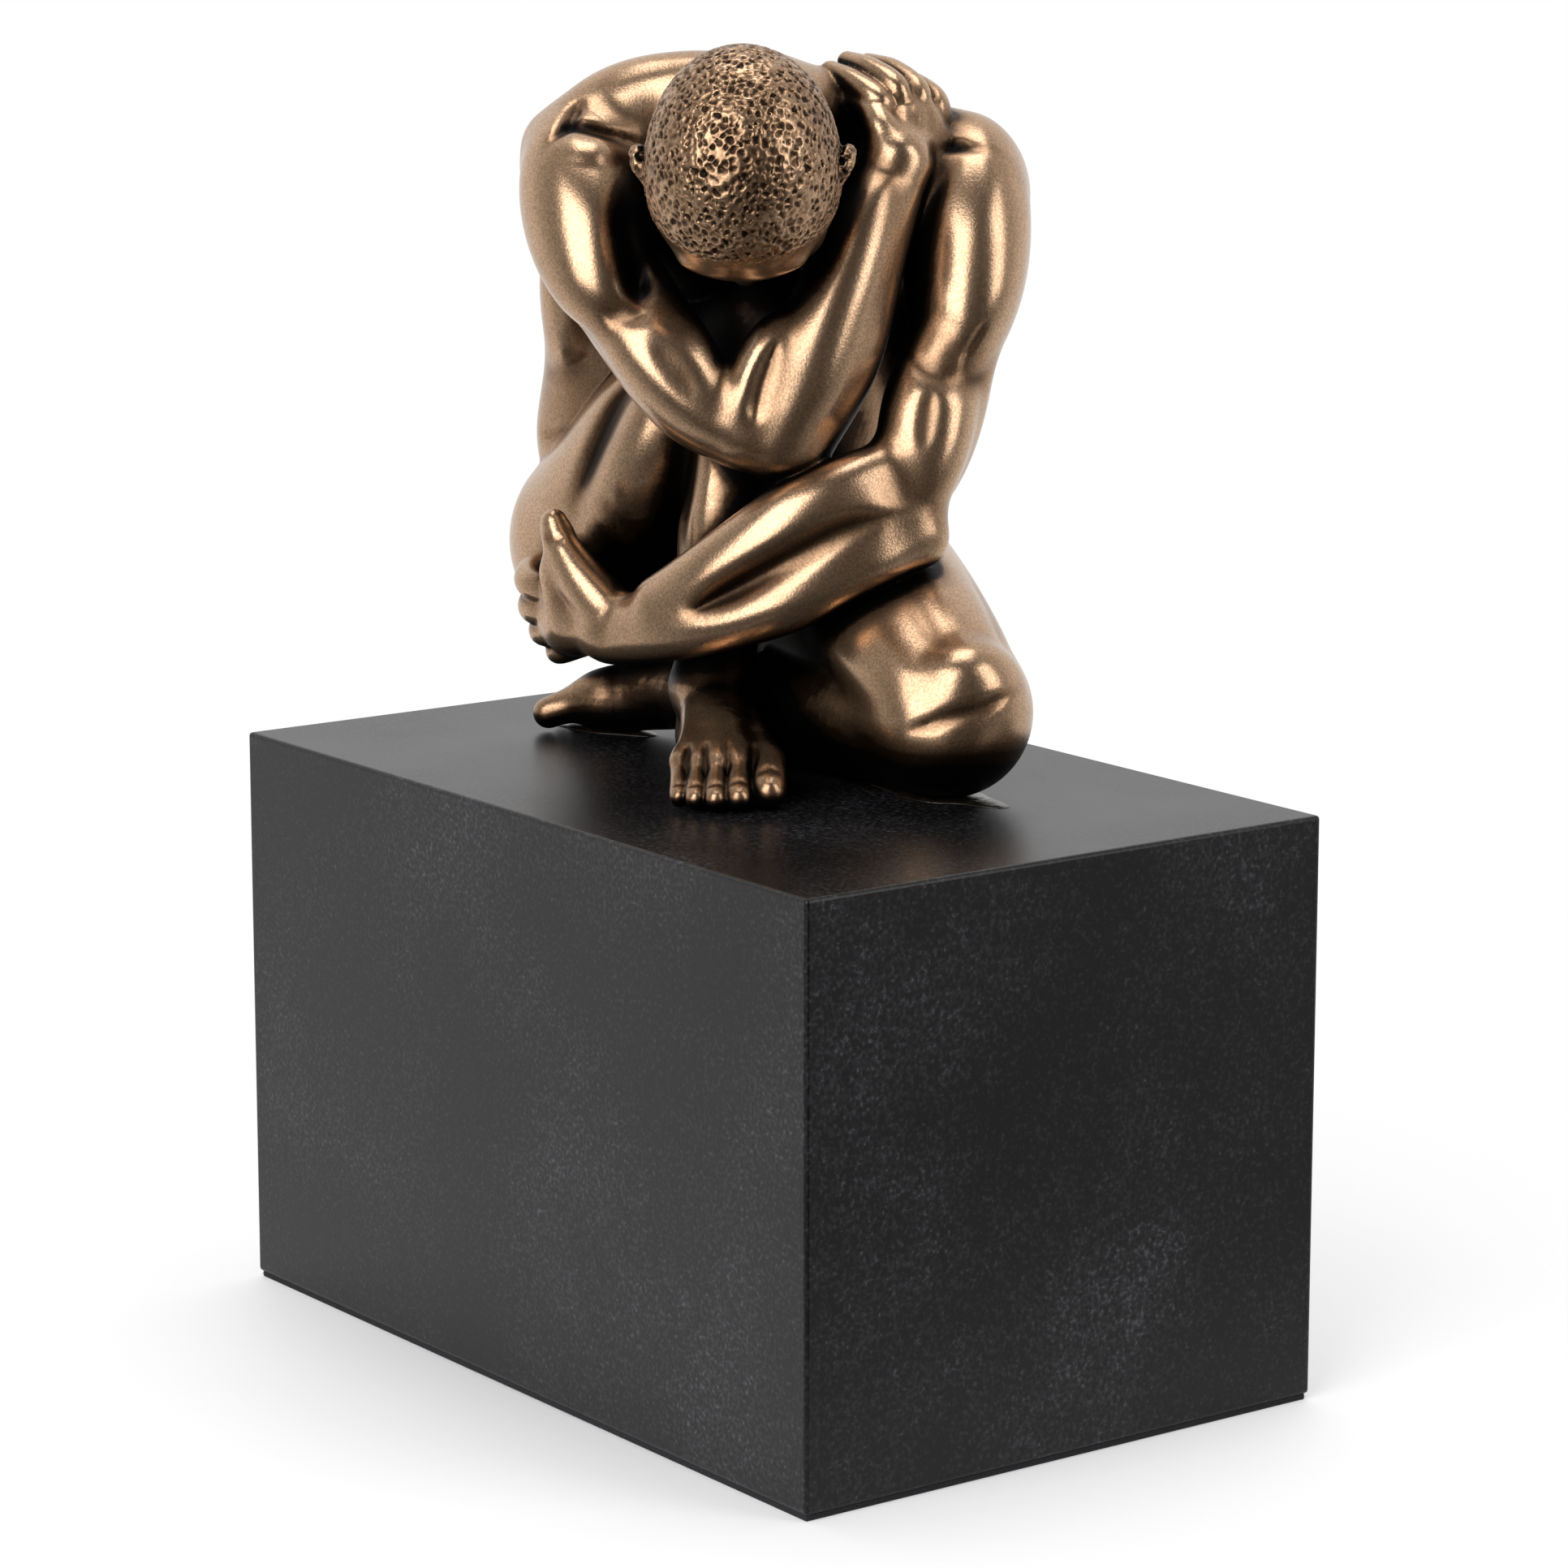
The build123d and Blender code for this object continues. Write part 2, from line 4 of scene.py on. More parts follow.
import bmesh
import bpy
import numpy as np
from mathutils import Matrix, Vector


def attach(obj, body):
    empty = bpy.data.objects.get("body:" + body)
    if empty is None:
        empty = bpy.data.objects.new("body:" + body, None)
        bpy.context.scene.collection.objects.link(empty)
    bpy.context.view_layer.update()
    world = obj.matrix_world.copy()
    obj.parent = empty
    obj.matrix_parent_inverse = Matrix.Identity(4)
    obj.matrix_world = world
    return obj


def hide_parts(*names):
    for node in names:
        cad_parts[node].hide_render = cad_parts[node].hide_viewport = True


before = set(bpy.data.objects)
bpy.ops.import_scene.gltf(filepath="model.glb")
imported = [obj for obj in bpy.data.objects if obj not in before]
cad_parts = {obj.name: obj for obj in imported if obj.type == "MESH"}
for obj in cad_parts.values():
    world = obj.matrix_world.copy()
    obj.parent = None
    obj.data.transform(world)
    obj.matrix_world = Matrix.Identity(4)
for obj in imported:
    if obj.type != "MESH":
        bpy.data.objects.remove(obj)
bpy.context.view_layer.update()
print("stage: frame loaded")

# Sculpting tools: fields of distance in mm, in the figure's own frame (to its left, to its back, up)
figure = {"turn": math.radians(53.7), "base": 90.5}  # its turn on the plinth, the height of the plinth's top
clay = {"far": 9.0, "margin": 6.0}  # mm: the field's highest value, how far round a stroke it is worked out
# how it follows the surface, fades at its ends and reaches
furrow = {"squash": 0.3, "fade": 1.7, "reach": 2.6}


def spot(*xyz):
    return np.array(xyz, np.float64)


def unit(vector):
    return np.asarray(vector, float) / np.linalg.norm(vector)


def curve(points, radii, parts=14):  # a smooth way through the points, with a radius at each step of it
    points = [np.asarray(p, float) for p in points]
    padded = [2 * points[0] - points[1]] + points + [2 * points[-1] - points[-2]]
    sizes = [2 * radii[0] - radii[1]] + list(radii) + [2 * radii[-1] - radii[-2]]
    way, girth = [], []
    for i in range(1, len(padded) - 2):
        for j in range(parts + (i == len(padded) - 3)):
            t = j / parts
            for course, kept in ((padded, way), (sizes, girth)):
                a, b, c, d = course[i - 1:i + 3]
                bend = (2 * a - 5 * b + 4 * c - d) * t ** 2
                kept.append(0.5 * (2 * b + (c - a) * t + bend + (3 * b - 3 * c + d - a) * t ** 3))
    return way, girth


def limb(k, *stations, cut=False):  # each station is a point and a radius; a tube of changing girth
    way, girth = curve([s[:3] for s in stations], [s[3] for s in stations])
    parts = []
    for i in range(len(way) - 1):
        parts.append({"kind": "rod", "a": way[i], "b": way[i + 1], "ra": girth[i], "rb": girth[i + 1]})
    return {"k": k, "cut": cut, "parts": parts}


def blob(k, centre, radii, along=(0, 0, 1), facing=(0, -1, 0), cut=False):  # radii along, facing, across
    e0 = unit(along)
    e1 = np.asarray(facing, float)
    e1 = unit(e1 - e0 * (e1 @ e0))
    part = {"kind": "blob", "centre": np.asarray(centre, float), "frame": (e0, e1, np.cross(e0, e1)),
            "radii": radii}
    return {"k": k, "cut": cut, "parts": [part]}


def belly(k, a, b, depth, width, facing=(0, -1, 0.2), cut=False):  # a muscle from a to b
    a, b = np.asarray(a, float), np.asarray(b, float)
    return blob(k, (a + b) / 2, (np.linalg.norm(b - a) / 2, depth, width), b - a, facing, cut)


def crease(depth, width, *points, facing=(0, -1, 0.1)):  # a furrow, or a ridge where the depth is negative
    way = curve(points, [width] * len(points), 8)[0]
    ease = furrow["fade"] * width * np.abs(np.linspace(-1, 1, len(way))) ** 3  # fades out at both ends
    parts = []
    for i in range(len(way) - 1):
        parts.append({"kind": "furrow", "a": way[i], "b": way[i + 1], "width": width, "ease": ease[i:i + 2],
                      "facing": unit(facing)})
    return {"k": 0, "cut": False, "depth": depth, "width": width, "parts": parts}


class Volume:  # a box of voxels that strokes are worked out in
    def __init__(self, low, high, step):
        self.step = step
        self.axes = [np.arange(lo, hi + step, step, dtype=np.float32) for lo, hi in zip(low, high)]
        self.shape = [len(a) for a in self.axes]

    def window(self, low, high):
        return tuple(slice(*np.searchsorted(a, (lo, hi))) for a, lo, hi in zip(self.axes, low, high))

    def grid(self, cut):
        x, y, z = (a[c] for a, c in zip(self.axes, cut))
        return x[:, None, None], y[None, :, None], z[None, None, :]

    def field(self, strokes):
        value = np.full(self.shape, clay["far"], np.float32)
        for stroke in strokes:
            boxes = [reach(p) for p in stroke["parts"]]
            low = np.min([b[0] for b in boxes], 0)
            high = np.max([b[1] for b in boxes], 0)
            whole = self.window(low, high)
            if any(c.stop <= c.start for c in whole):
                continue
            layer = np.full([c.stop - c.start for c in whole], clay["far"], np.float32)
            for part, box in zip(stroke["parts"], boxes):
                cut = self.window(*box)
                if any(c.stop <= c.start for c in cut):
                    continue
                inner = tuple(slice(c.start - w.start, c.stop - w.start) for c, w in zip(cut, whole))
                layer[inner] = np.minimum(layer[inner], measure(part, *self.grid(cut)))
            if "depth" in stroke:
                near = np.exp(-(layer / np.float32(stroke["width"])) ** 2)
                value[whole] += np.float32(stroke["depth"]) * near
            elif stroke["cut"]:
                value[whole] = -smooth(-value[whole], layer, stroke["k"])
            else:
                value[whole] = smooth(value[whole], layer, stroke["k"])
        return value


def reach(part):  # the box in which a part counts
    if part["kind"] == "rod":
        ends = np.array([part["a"], part["b"]])
        size = max(part["ra"], part["rb"]) + clay["margin"]
        return ends.min(0) - size, ends.max(0) + size
    if part["kind"] == "furrow":
        ends = np.array([part["a"], part["b"]])
        size = furrow["reach"] * part["width"] * (1 + np.abs(part["facing"]) * (1 / furrow["squash"] - 1))
        return ends.min(0) - size, ends.max(0) + size
    size = np.sqrt(sum((e * r) ** 2 for e, r in zip(part["frame"], part["radii"]))) + clay["margin"]
    return part["centre"] - size, part["centre"] + size


def measure(part, x, y, z):  # distance from a part's surface, or for a furrow from its line
    if part["kind"] == "rod":
        a, ba = part["a"].astype(np.float32), (part["b"] - part["a"]).astype(np.float32)
        ll = float(ba @ ba)
        px, py, pz = x - a[0], y - a[1], z - a[2]
        dot = px * ba[0] + py * ba[1] + pz * ba[2]
        h = np.clip(dot / ll, 0, 1)
        square = px * px + py * py + pz * pz - h * (2 * dot - h * ll)
        return np.sqrt(np.maximum(square, 0)) - (part["ra"] + (part["rb"] - part["ra"]) * h)
    if part["kind"] == "furrow":
        n = part["facing"].astype(np.float32)
        lost = np.float32(1 - furrow["squash"])
        ba = part["b"] - part["a"]
        ba = (ba - n * (ba @ n) * lost).astype(np.float32)
        px, py, pz = (g - np.float32(a) for g, a in zip((x, y, z), part["a"]))
        deep = (px * n[0] + py * n[1] + pz * n[2]) * lost
        px, py, pz = px - deep * n[0], py - deep * n[1], pz - deep * n[2]
        h = np.clip((px * ba[0] + py * ba[1] + pz * ba[2]) / max(float(ba @ ba), 1e-6), 0, 1)
        ease = part["ease"].astype(np.float32)
        off = np.sqrt((px - h * ba[0]) ** 2 + (py - h * ba[1]) ** 2 + (pz - h * ba[2]) ** 2)
        return off + ease[0] + (ease[1] - ease[0]) * h
    c = part["centre"].astype(np.float32)
    px, py, pz = x - c[0], y - c[1], z - c[2]
    near = np.float32(0)
    slope = np.float32(1e-7)
    for e, r in zip(part["frame"], part["radii"]):
        q = (px * np.float32(e[0]) + py * np.float32(e[1]) + pz * np.float32(e[2])) * np.float32(1 / r)
        q *= q
        near = near + q
        slope = slope + q * np.float32(1 / r ** 2)
    near = np.sqrt(near)
    return near * (near - 1) / np.sqrt(slope)


def smooth(a, b, k):  # the lesser of two fields, blended where they are closer than k
    h = np.maximum(k - np.abs(a - b), 0) / k
    return np.minimum(a, b) - h * h * k * np.float32(0.25)


# The castings, stroke by stroke; the first number is how softly a stroke blends into those before it
rightShoulderCreases = [
    crease(1.5, 1.2, (-34, 2, 91.6), (-31, 3.4, 96.4), (-28.6, 4, 98.2), (-23.5, 3, 97.8), (-18, 2.6, 97),
           (-14, 2, 96), facing=(0, -0.9, 0.45)),
    crease(1.2, 1.2, (-30, 3.6, 97.4), (-29, 6, 100), (-28, 9, 102.4), facing=(-0.2, -0.7, 0.7)),
]
leftShoulderCreases = [crease(1.5, 1.2, (22, 9, 91.4), (25.6, 9.6, 93.2), (28.6, 10, 94), (32, 10.4, 93),
                              (36, 11.6, 91), (41, 14, 86), facing=(0, -0.9, 0.45))]
torso = [
    blob(1, (-8, 43, 28), (17, 17, 27)),  # pelvis
    blob(8, (-7.5, 42.5, 47), (25, 17.5, 29), (0, -0.05, 1)),  # waist
    blob(8, (-5.5, 40, 67), (25, 19, 29), (0.1, -0.3, 1)),  # ribs
    blob(7, (-2, 31.6, 85.5), (16.5, 19, 31), (0.2, -0.65, 0.9), (0, 1, 0.4)),  # upper back
    # yoke of the shoulders
    limb(5, (-25, 11.5, 90.5, 9.5), (-18.6, 18.6, 92.5, 12.5), (0.6, 24.9, 93.5, 14),
         (18.6, 20.9, 89.8, 12.5), (29, 16.5, 87.5, 9.5)),
    limb(5, (0, 15, 97, 11), (-1.5, -4, 94, 10.5)),  # neck
    # trapezius, right
    limb(4, (0, 10, 103, 6), (-12, 14.5, 103, 6.4), (-22, 15, 101, 6.2), (-31.5, 13.5, 95.4, 5)),
    limb(4, (0, 10, 101.5, 6), (12, 16, 99.6, 6), (24, 18, 95.4, 5.4), (33, 18, 91, 4.8)),  # trapezius, left
    blob(4, (-19, 45.5, 26), (16, 15.5, 16)),  # buttocks
    blob(4, (3, 45.5, 25), (15.5, 15.5, 15.5)),
    # long muscles beside the spine
    limb(4, (-14, 51, 32, 7), (-13.5, 53, 48, 7.5), (-12, 51.5, 66, 8), (-7, 43.6, 87, 7)),
    limb(4, (-2, 51, 32, 7), (-1.5, 53, 48, 7.5), (0.5, 51.5, 66, 8), (5, 43.6, 86, 7)),
    belly(3, (-29, 22, 88), (-23, 50, 46), 7, 11, (-0.7, 0.7, 0)),  # broad muscles of the back
    belly(3, (28, 26, 86), (15, 49, 46), 7, 11, (0.7, 0.7, 0)),
    belly(3, (-21, 22, 102), (-13, 45, 79.4), 5.2, 9, (-0.2, 0.7, 0.6)),  # shoulder blades
    belly(3, (21, 26, 100), (13, 46, 78.6), 5.5, 9, (0.2, 0.7, 0.6)),
    # groove of the spine
    limb(4, (-8, 61.5, 27, 2), (-7.5, 63, 48, 2.2), (-6, 61.5, 67, 2.2), (-1.5, 53, 88, 2.2),
         (0, 40.6, 101, 2), cut=True),
    belly(3, (-20, 14, 88), (-3, 17, 74), 8, 9, (-0.2, -1, 0)),  # breast muscles
    belly(3, (20, 16, 86), (3, 17, 74), 8, 9, (0.2, -1, 0)),
    # folds of the flank
    crease(1.1, 1.4, (-38.5, 36, 47.2), (-34.5, 32, 47.6), (-30, 28, 48.6), facing=(-0.6, -0.8, 0)),
    crease(0.6, 1.6, (-36.5, 36, 57), (-32, 30, 58.5), (-28, 26, 61), facing=(-0.6, -0.8, 0)),
    *rightShoulderCreases,
    *leftShoulderCreases,
]

head = {"centre": spot(-2.9, -14.1, 93.45), "crown": unit((-0.05, -0.998, 0.05)),
        "face": unit((0, -0.05, -0.998))}
head["left"] = np.cross(head["crown"], -head["face"])


def inHead(left, crown, face):
    return head["centre"] + head["left"] * left + head["crown"] * crown + head["face"] * face


def headBlob(k, place, radii, cut=False):  # radii: crown, face, left
    return blob(k, inHead(*place), radii, head["crown"], head["face"], cut)


skull = [
    headBlob(1, (0, 3, -2), (16, 16.8, 14.2)),  # skull
    headBlob(5, (0, 0, 2.4), (16, 12, 12.6)),
    headBlob(5, (0, -9, 5), (11, 9.5, 10.2)),  # jaw and chin
    headBlob(3, (0, -15.5, 10), (4, 4.5, 5)),
    headBlob(2.5, (0, 4.9, 12.4), (2.4, 2.4, 9)),  # brow
    *[headBlob(1.6, (side * 5.2, 0.6, 14), (2.6, 2.6, 3.6), True) for side in (-1, 1)],  # eye sockets
    *[headBlob(1, (side * 5.2, 0.4, 11.6), (2, 2, 2.8)) for side in (-1, 1)],  # closed eyes
    # nose
    limb(1.6, (*inHead(0, 3.5, 13.6), 1.2), (*inHead(0, -2.5, 15), 1.5), (*inHead(0, -5.2, 15.4), 1.8)),
    *[headBlob(1, (side * 1.7, -5.4, 14.2), (1.2, 1.4, 1.2)) for side in (-1, 1)],
    headBlob(0.8, (0, -9.3, 14.2), (0.9, 1.4, 4)),  # lips
    headBlob(0.8, (0, -11, 13.8), (1.1, 1.5, 3.4)),
    *[headBlob(3, (side * 8.5, -3.5, 9), (2.6, 3, 2.6)) for side in (-1, 1)],  # cheekbones
]
for side in (-1, 1):
    rim = ((14.2, -4.2, -0.6, 1.0), (15, -1.5, -2.2, 1.0), (15.6, 2.6, -3.0, 1.1), (15.2, 4.4, -1.0, 1.0),
           (14, 3.4, 0.8, 0.9))
    skull += [
        limb(0.6, *[(*inHead(side * left, crown, face), radius) for left, crown, face, radius in rim]),
        headBlob(0.8, (side * 14, 0.3, -1.2), (4.2, 2.2, 1.1)),  # ear and its lobe
        headBlob(0.6, (side * 14.3, -3.6, 0), (1.5, 1.2, 1.1)),
    ]

rightArm = [
    # upper arm
    limb(1, (-28.4, 11, 89.3, 8), (-25.4, 4, 78.5, 7), (-17.4, -2.8, 66.7, 7), (-9.6, -6.8, 57.6, 6.4),
         (1.7, -9, 52.7, 5.4)),
    belly(2.4, (-31.2, 11.4, 99.6), (-22, -9, 69.5), 9.8, 9.6, (-0.55, -0.8, 0.1)),  # deltoid
    blob(1.6, (-26.6, 1.4, 94), (3.2, 4.4, 4.4)),  # point of the shoulder
    belly(2.2, (-25, -5, 76.5), (-5.5, -11.4, 52.5), 6.6, 6.4, (-0.5, -0.9, -0.2)),  # triceps
    # biceps
    limb(2.6, (-17.6, -3, 76, 3.4), (-13.6, -7, 67, 5.4), (-8.6, -9.2, 59.4, 5.2), (-3, -10.6, 54, 5)),
    blob(2, (4, -10.2, 51), (4.6, 4.2, 5)),  # elbow
    # forearm
    limb(2, (1.7, -9, 52.7, 5.4), (6.8, -7.9, 61, 6.6), (10.7, -4.5, 71.2, 6.6), (15.6, -0.6, 83.1, 5.4),
         (19.8, 3.6, 93.5, 4.7)),
    belly(2.4, (-5, -12, 53), (3, -9, 72), 5, 4.4),  # its muscles
    belly(4, (1, -12.8, 51), (17.4, -2.6, 90), 5.2, 5.2),
    limb(2.4, (6, -8.6, 50.5, 3.6), (12.8, -5, 64, 4.6), (17, -1.5, 78, 4.2), (21.4, 4, 92.5, 3.6)),
    limb(2.4, (20.2, 3.8, 93.5, 4.6), (21.2, 7.6, 97.5, 3.8)),  # wrist
    blob(2.4, (22, 8.2, 98), (6.4, 2.9, 5.4), (0.1, 0.4, 0.9), (0.25, -0.85, 0.45)),  # back of the hand
    # thumb
    limb(1.4, (19.4, 3.2, 94.4, 2.9), (18, 4.2, 98, 2.8), (16.4, 7, 100.8, 2.3), (13.6, 11, 102.4, 1.9)),
    # fingers
    limb(0.4, (19, 8.4, 98, 1.6), (17.7, 7.2, 101.8, 2.3), (13.8, 10.8, 104.8, 2.0),
         (10.2, 15.2, 106.2, 1.7)),
    limb(0.4, (20.8, 9, 98, 1.6), (20.2, 8.8, 103.6, 2.2), (16.4, 12.8, 106.6, 1.9),
         (12.8, 17.4, 107.6, 1.6)),
    limb(0.4, (22.8, 9.8, 98, 1.6), (23.4, 10.6, 103, 2.1), (20, 15.4, 106.2, 1.8), (16, 20.4, 107.2, 1.5)),
    limb(0.4, (24.6, 10.4, 97.4, 1.5), (26.4, 12.6, 101.4, 1.9), (23.4, 17, 104.2, 1.6),
         (19.6, 22, 105.2, 1.4)),
    crease(0.2, 0.8, (19, 5, 102.6), (20.4, 5, 99.6), (21, 4.6, 96.6)),  # between the tendons
    crease(0.2, 0.8, (21.8, 6.6, 102.6), (22.6, 6, 99.6), (22.8, 5.6, 96.4)),
    crease(0.2, 0.8, (24.8, 8.6, 101.4), (25, 8, 98.6), (24.8, 7.4, 95.6)),
    # between arm and breast
    crease(2.2, 2.2, (-22.6, 2, 90), (-21, -3, 83), (-19.4, -6, 77), (-18, -8, 73.4)),
    crease(0.7, 1.6, (-24.4, -12, 73.6), (-20.4, -12, 71.6), (-17, -11, 72.4)),  # end of the deltoid
    crease(0.5, 2.0, (-16.6, -12, 68), (-13, -13, 64), (-9.6, -13, 59.4)),  # between biceps and triceps
    crease(1.0, 1.3, (-1.6, -18, 55.5), (-0.6, -16, 61.5), (2.4, -13, 69)),  # crook of the elbow
    *rightShoulderCreases,
]

leftArm = [
    # upper arm
    limb(1, (31, 14.4, 86.4, 9), (30.6, 8, 75, 8), (27.6, 1.4, 62, 6.4), (24.2, -4, 50, 5.6),
         (21.2, -6.8, 40.6, 5.4)),
    belly(3.4, (32.2, 17.5, 98.5), (29.8, -3, 63.4), 10.4, 9.2, (0.4, -0.9, 0)),  # deltoid
    blob(1.2, (30.4, 10.4, 90.6), (4, 4.6, 5)),  # point of the shoulder
    belly(3, (27.4, 0.6, 70), (21.8, -10.8, 41), 5.8, 7.2, (-0.15, -1, 0)),  # biceps
    belly(2, (32.6, 5, 71), (26, -4, 43), 4.6, 4.4, (0.8, -0.3, 0)),  # triceps
    blob(3, (22.8, -8.8, 38.6), (4.6, 4.2, 4)),  # elbow
    # forearm
    limb(3, (21.2, -6.8, 40.6, 5.4), (13.6, -10.5, 40.2, 7), (2.8, -11.9, 35, 7), (-11.9, -7.9, 26.6, 5.5),
         (-23.7, 2, 21.8, 4.5)),
    # its muscles
    limb(3.4, (21.5, -5.5, 49, 3.4), (14, -10.6, 46.4, 5), (5, -13.2, 42, 5.6), (-6, -12, 34.4, 5),
         (-15, -7, 28, 4)),
    limb(2.2, (24, -9, 37.4, 3.6), (14, -13.4, 34.4, 4.8), (2, -14.4, 29, 5.2), (-12, -10, 23.8, 4.2),
         (-22, -1, 20.6, 3.4)),
    limb(2, (-23.7, 2, 21.8, 4.5), (-28.5, 7, 22.6, 4.4)),  # wrist
    blob(2, (-30, 8.2, 22.8), (7, 4, 6), (-0.6, 0.75, 0), (-0.7, -0.6, 0)),  # back of the hand
    # thumb
    limb(1.4, (-23.6, 1, 24.6, 4.4), (-28, 4, 29.4, 3.7), (-30.8, 6.4, 33.4, 2.9), (-31.8, 7.8, 35.8, 2.6),
         (-32.4, 8.4, 37.6, 2.1)),
    blob(2, (-31.4, 7.4, 28.4), (5, 3, 3.2), (-0.3, 0.2, 0.9), (-0.4, -0.9, 0)),  # ball of the thumb
    crease(0.4, 0.6, (-34, 6, 36.2), (-32.4, 5.4, 35.2), (-30.4, 5.6, 35.8)),  # its nail
    # fingers
    limb(0.5, (-31, 8, 26.2, 2.3), (-36.2, 13, 27.2, 2.3), (-36.4, 19, 28.6, 2), (-33, 24.5, 29.5, 1.7)),
    limb(0.5, (-30.6, 8, 23.4, 2.3), (-35.8, 13.4, 23.2, 2.3), (-35.6, 19.6, 24.4, 2), (-32, 25, 25.2, 1.7)),
    limb(0.5, (-29.6, 8, 20.6, 2.2), (-34.4, 13.6, 19.6, 2.2), (-33.6, 19.6, 20.6, 1.9),
         (-30, 24.6, 21.2, 1.6)),
    limb(0.5, (-28, 8, 18.6, 2), (-32, 13, 16.6, 2), (-31, 18, 17.4, 1.8), (-28, 22.4, 18.2, 1.5)),
    crease(0.8, 2.2, (20, -4, 66), (25, -6, 62.6), (30, -5, 61.4), (34, -3, 62)),  # end of the deltoid
    crease(0.4, 0.5, (29.6, -8, 61), (30.4, -7, 65), (32.6, -5, 69), (34.4, -3, 71.4)),  # casting seam
    crease(0.5, 1.6, (25.4, -8, 61), (24.6, -9.4, 56), (24, -11, 51)),  # furrows of arm and forearm
    crease(2.0, 2.2, (21, -14, 42.6), (12, -19, 40.6), (3, -20, 36), (-6, -17, 30.4), (-12, -14, 27)),
    *leftShoulderCreases,
]

rightLeg = [
    # thigh
    limb(1, (-23.7, 40, 30, 17.2), (-18.6, 32.8, 38, 16.4), (-11.9, 26, 48.6, 15.6), (-5.1, 19.2, 58.2, 13.6),
         (2, 13.2, 65.6, 11)),
    # shin
    limb(2, (2, 13.2, 65.6, 11), (-1.1, 10.7, 52, 10.8), (-4, 7.9, 37.9, 9.2), (-6.8, 3.4, 23.7, 6.8),
         (-7.9, 0, 13.6, 5.8)),
    belly(1.6, (-25.5, 27, 26), (-11.5, 11.4, 61), 8, 8.4, (-0.5, -0.8, -0.2)),  # outer thigh
    belly(1.6, (-4, 4, 62), (-6, 1.5, 26), 5.5, 7, (0.1, -1, 0)),  # calf
    blob(2, (4, 7, 66), (6, 5, 6.4)),  # knee
    blob(1.4, (-12.6, 1.4, 13), (3, 2.6, 2)),  # ankle bones
    blob(1.4, (-2.8, 0.2, 14.8), (3.2, 2.8, 2)),
    # along the thigh
    crease(1.3, 1.8, (-18, 14, 61), (-22, 17, 55.4), (-25.2, 20, 48.4), (-28, 24, 41), (-31, 28, 34)),
    crease(1.8, 2.0, (-9, 3, 60), (-10.6, 4, 52), (-11.4, 5, 44), (-12, 6, 36)),  # between thigh and calf
]

leftLeg = [
    # thigh
    limb(1, (5.7, 39.6, 25.4, 17.2), (11.9, 28.3, 24.9, 17), (17, 10.2, 23.4, 15.6), (23.2, -6.8, 19.4, 13.4),
         (27.6, -18.6, 13.4, 12.4)),
    # shin, on the stone
    limb(2, (27.6, -18.6, 12.6, 12.4), (19.2, -7.9, 10.6, 11), (9, 4, 9.4, 9.6), (-2.3, 15.8, 8, 7.6),
         (-10.2, 24.9, 7.8, 6.2)),
    belly(2.6, (21, 15, 31.6), (31, -24, 20), 5.2, 5.6, (0.6, -0.3, 0.8)),  # outer thigh
    belly(2.6, (10, 2, 28), (23.4, -27.5, 16.6), 6.4, 7, (-0.3, -0.8, 0.5)),  # inner thigh
    blob(4, (31.6, -25.2, 18.8), (4.8, 4.2, 6), (0, 0.3, 1), (0.5, -0.8, 0.2)),  # kneecap
    blob(2.4, (28.4, -26.2, 11.4), (4.6, 4.5, 5.6)),  # head of the shin
    crease(0.7, 1.2, (20, -28, 11.6), (26, -31.4, 14), (32, -30, 15.8), (39, -24, 18.4)),  # fold of the knee
    # beside the muscles of the thigh
    crease(0.4, 1.8, (19, -4, 32), (23.4, -16, 26), (26.6, -25, 22), facing=(0, -0.7, 0.7)),
    crease(0.35, 1.8, (28.6, 6, 30.4), (33, -8, 26.4), (36, -20, 21.6), facing=(0.5, -0.6, 0.6)),
]

rightFoot = [
    limb(1, (-7.7, 0, 14, 5.8), (-8, 3, 7.4, 5.6), (-8.2, 4, 5.4, 5.6)),  # heel
    # instep
    limb(3, (-7.4, -1.4, 12.4, 5.2), (-7, -8, 8.4, 5.6), (-6.2, -14.5, 6, 5), (-5.6, -20, 4.4, 3.8)),
    blob(3, (-5.6, -18.4, 3.8), (4.2, 6.8, 8.4)),  # ball
    blob(3, (-7.4, -6, 4), (4.2, 12, 6)),  # sole
    limb(2, (-1.6, -13, 6.4, 2.4), (-1.5, -19, 5, 2.1), (-1.4, -23.6, 3.6, 1.5)),  # web by the big toe
]
# Toes: place across, place of the tip, radius
toes = ((0.9, -29, 2.75), (-3.6, -30.6, 2.1), (-7, -30.4, 1.9), (-10, -29.2, 1.75), (-12.5, -27.2, 1.6))
for u, v, r in toes:
    rightFoot += [
        limb(0.4, (u * 0.9 - 0.8, -15, 5.4, r), (u, v + 9, 5.4, r * 0.95), (u, v + 4.4, r + 1.9, r * 0.92),
             (u, v + 1, r + 0.6, r * 0.97), (u, v, r + 0.1, r * 0.93)),
        limb(2, (u * 0.62 - 2.6, -6, 11, 1), (u * 0.85 - 1, -15, 8, 1), (u, v + 8, 6, 1)),  # tendon
        # nail
        crease(-0.14, r * 0.55, (u, v - r * 0.5, r * 1.75), (u, v - r * 0.85, r * 1.3),
               facing=(0, -0.6, 0.8)),
        # fold of the joint
        crease(0.3, r * 0.3, (u - r * 0.6, v + r * 0.2, r * 2), (u, v + r * 0.5, r * 2.2),
               (u + r * 0.6, v + r * 0.2, r * 2), facing=(0, -0.5, 0.85)),
    ]

for (u, _, r), (nextU, _, nextR) in zip(toes, toes[1:]):
    gap = (u - r + nextU + nextR) / 2
    rightFoot.append(crease(0.5, 0.7, (gap, -18, 7.6), (gap, -22, 6.4), (gap, -27, 4.6),
                            facing=(0, -0.5, 0.85)))

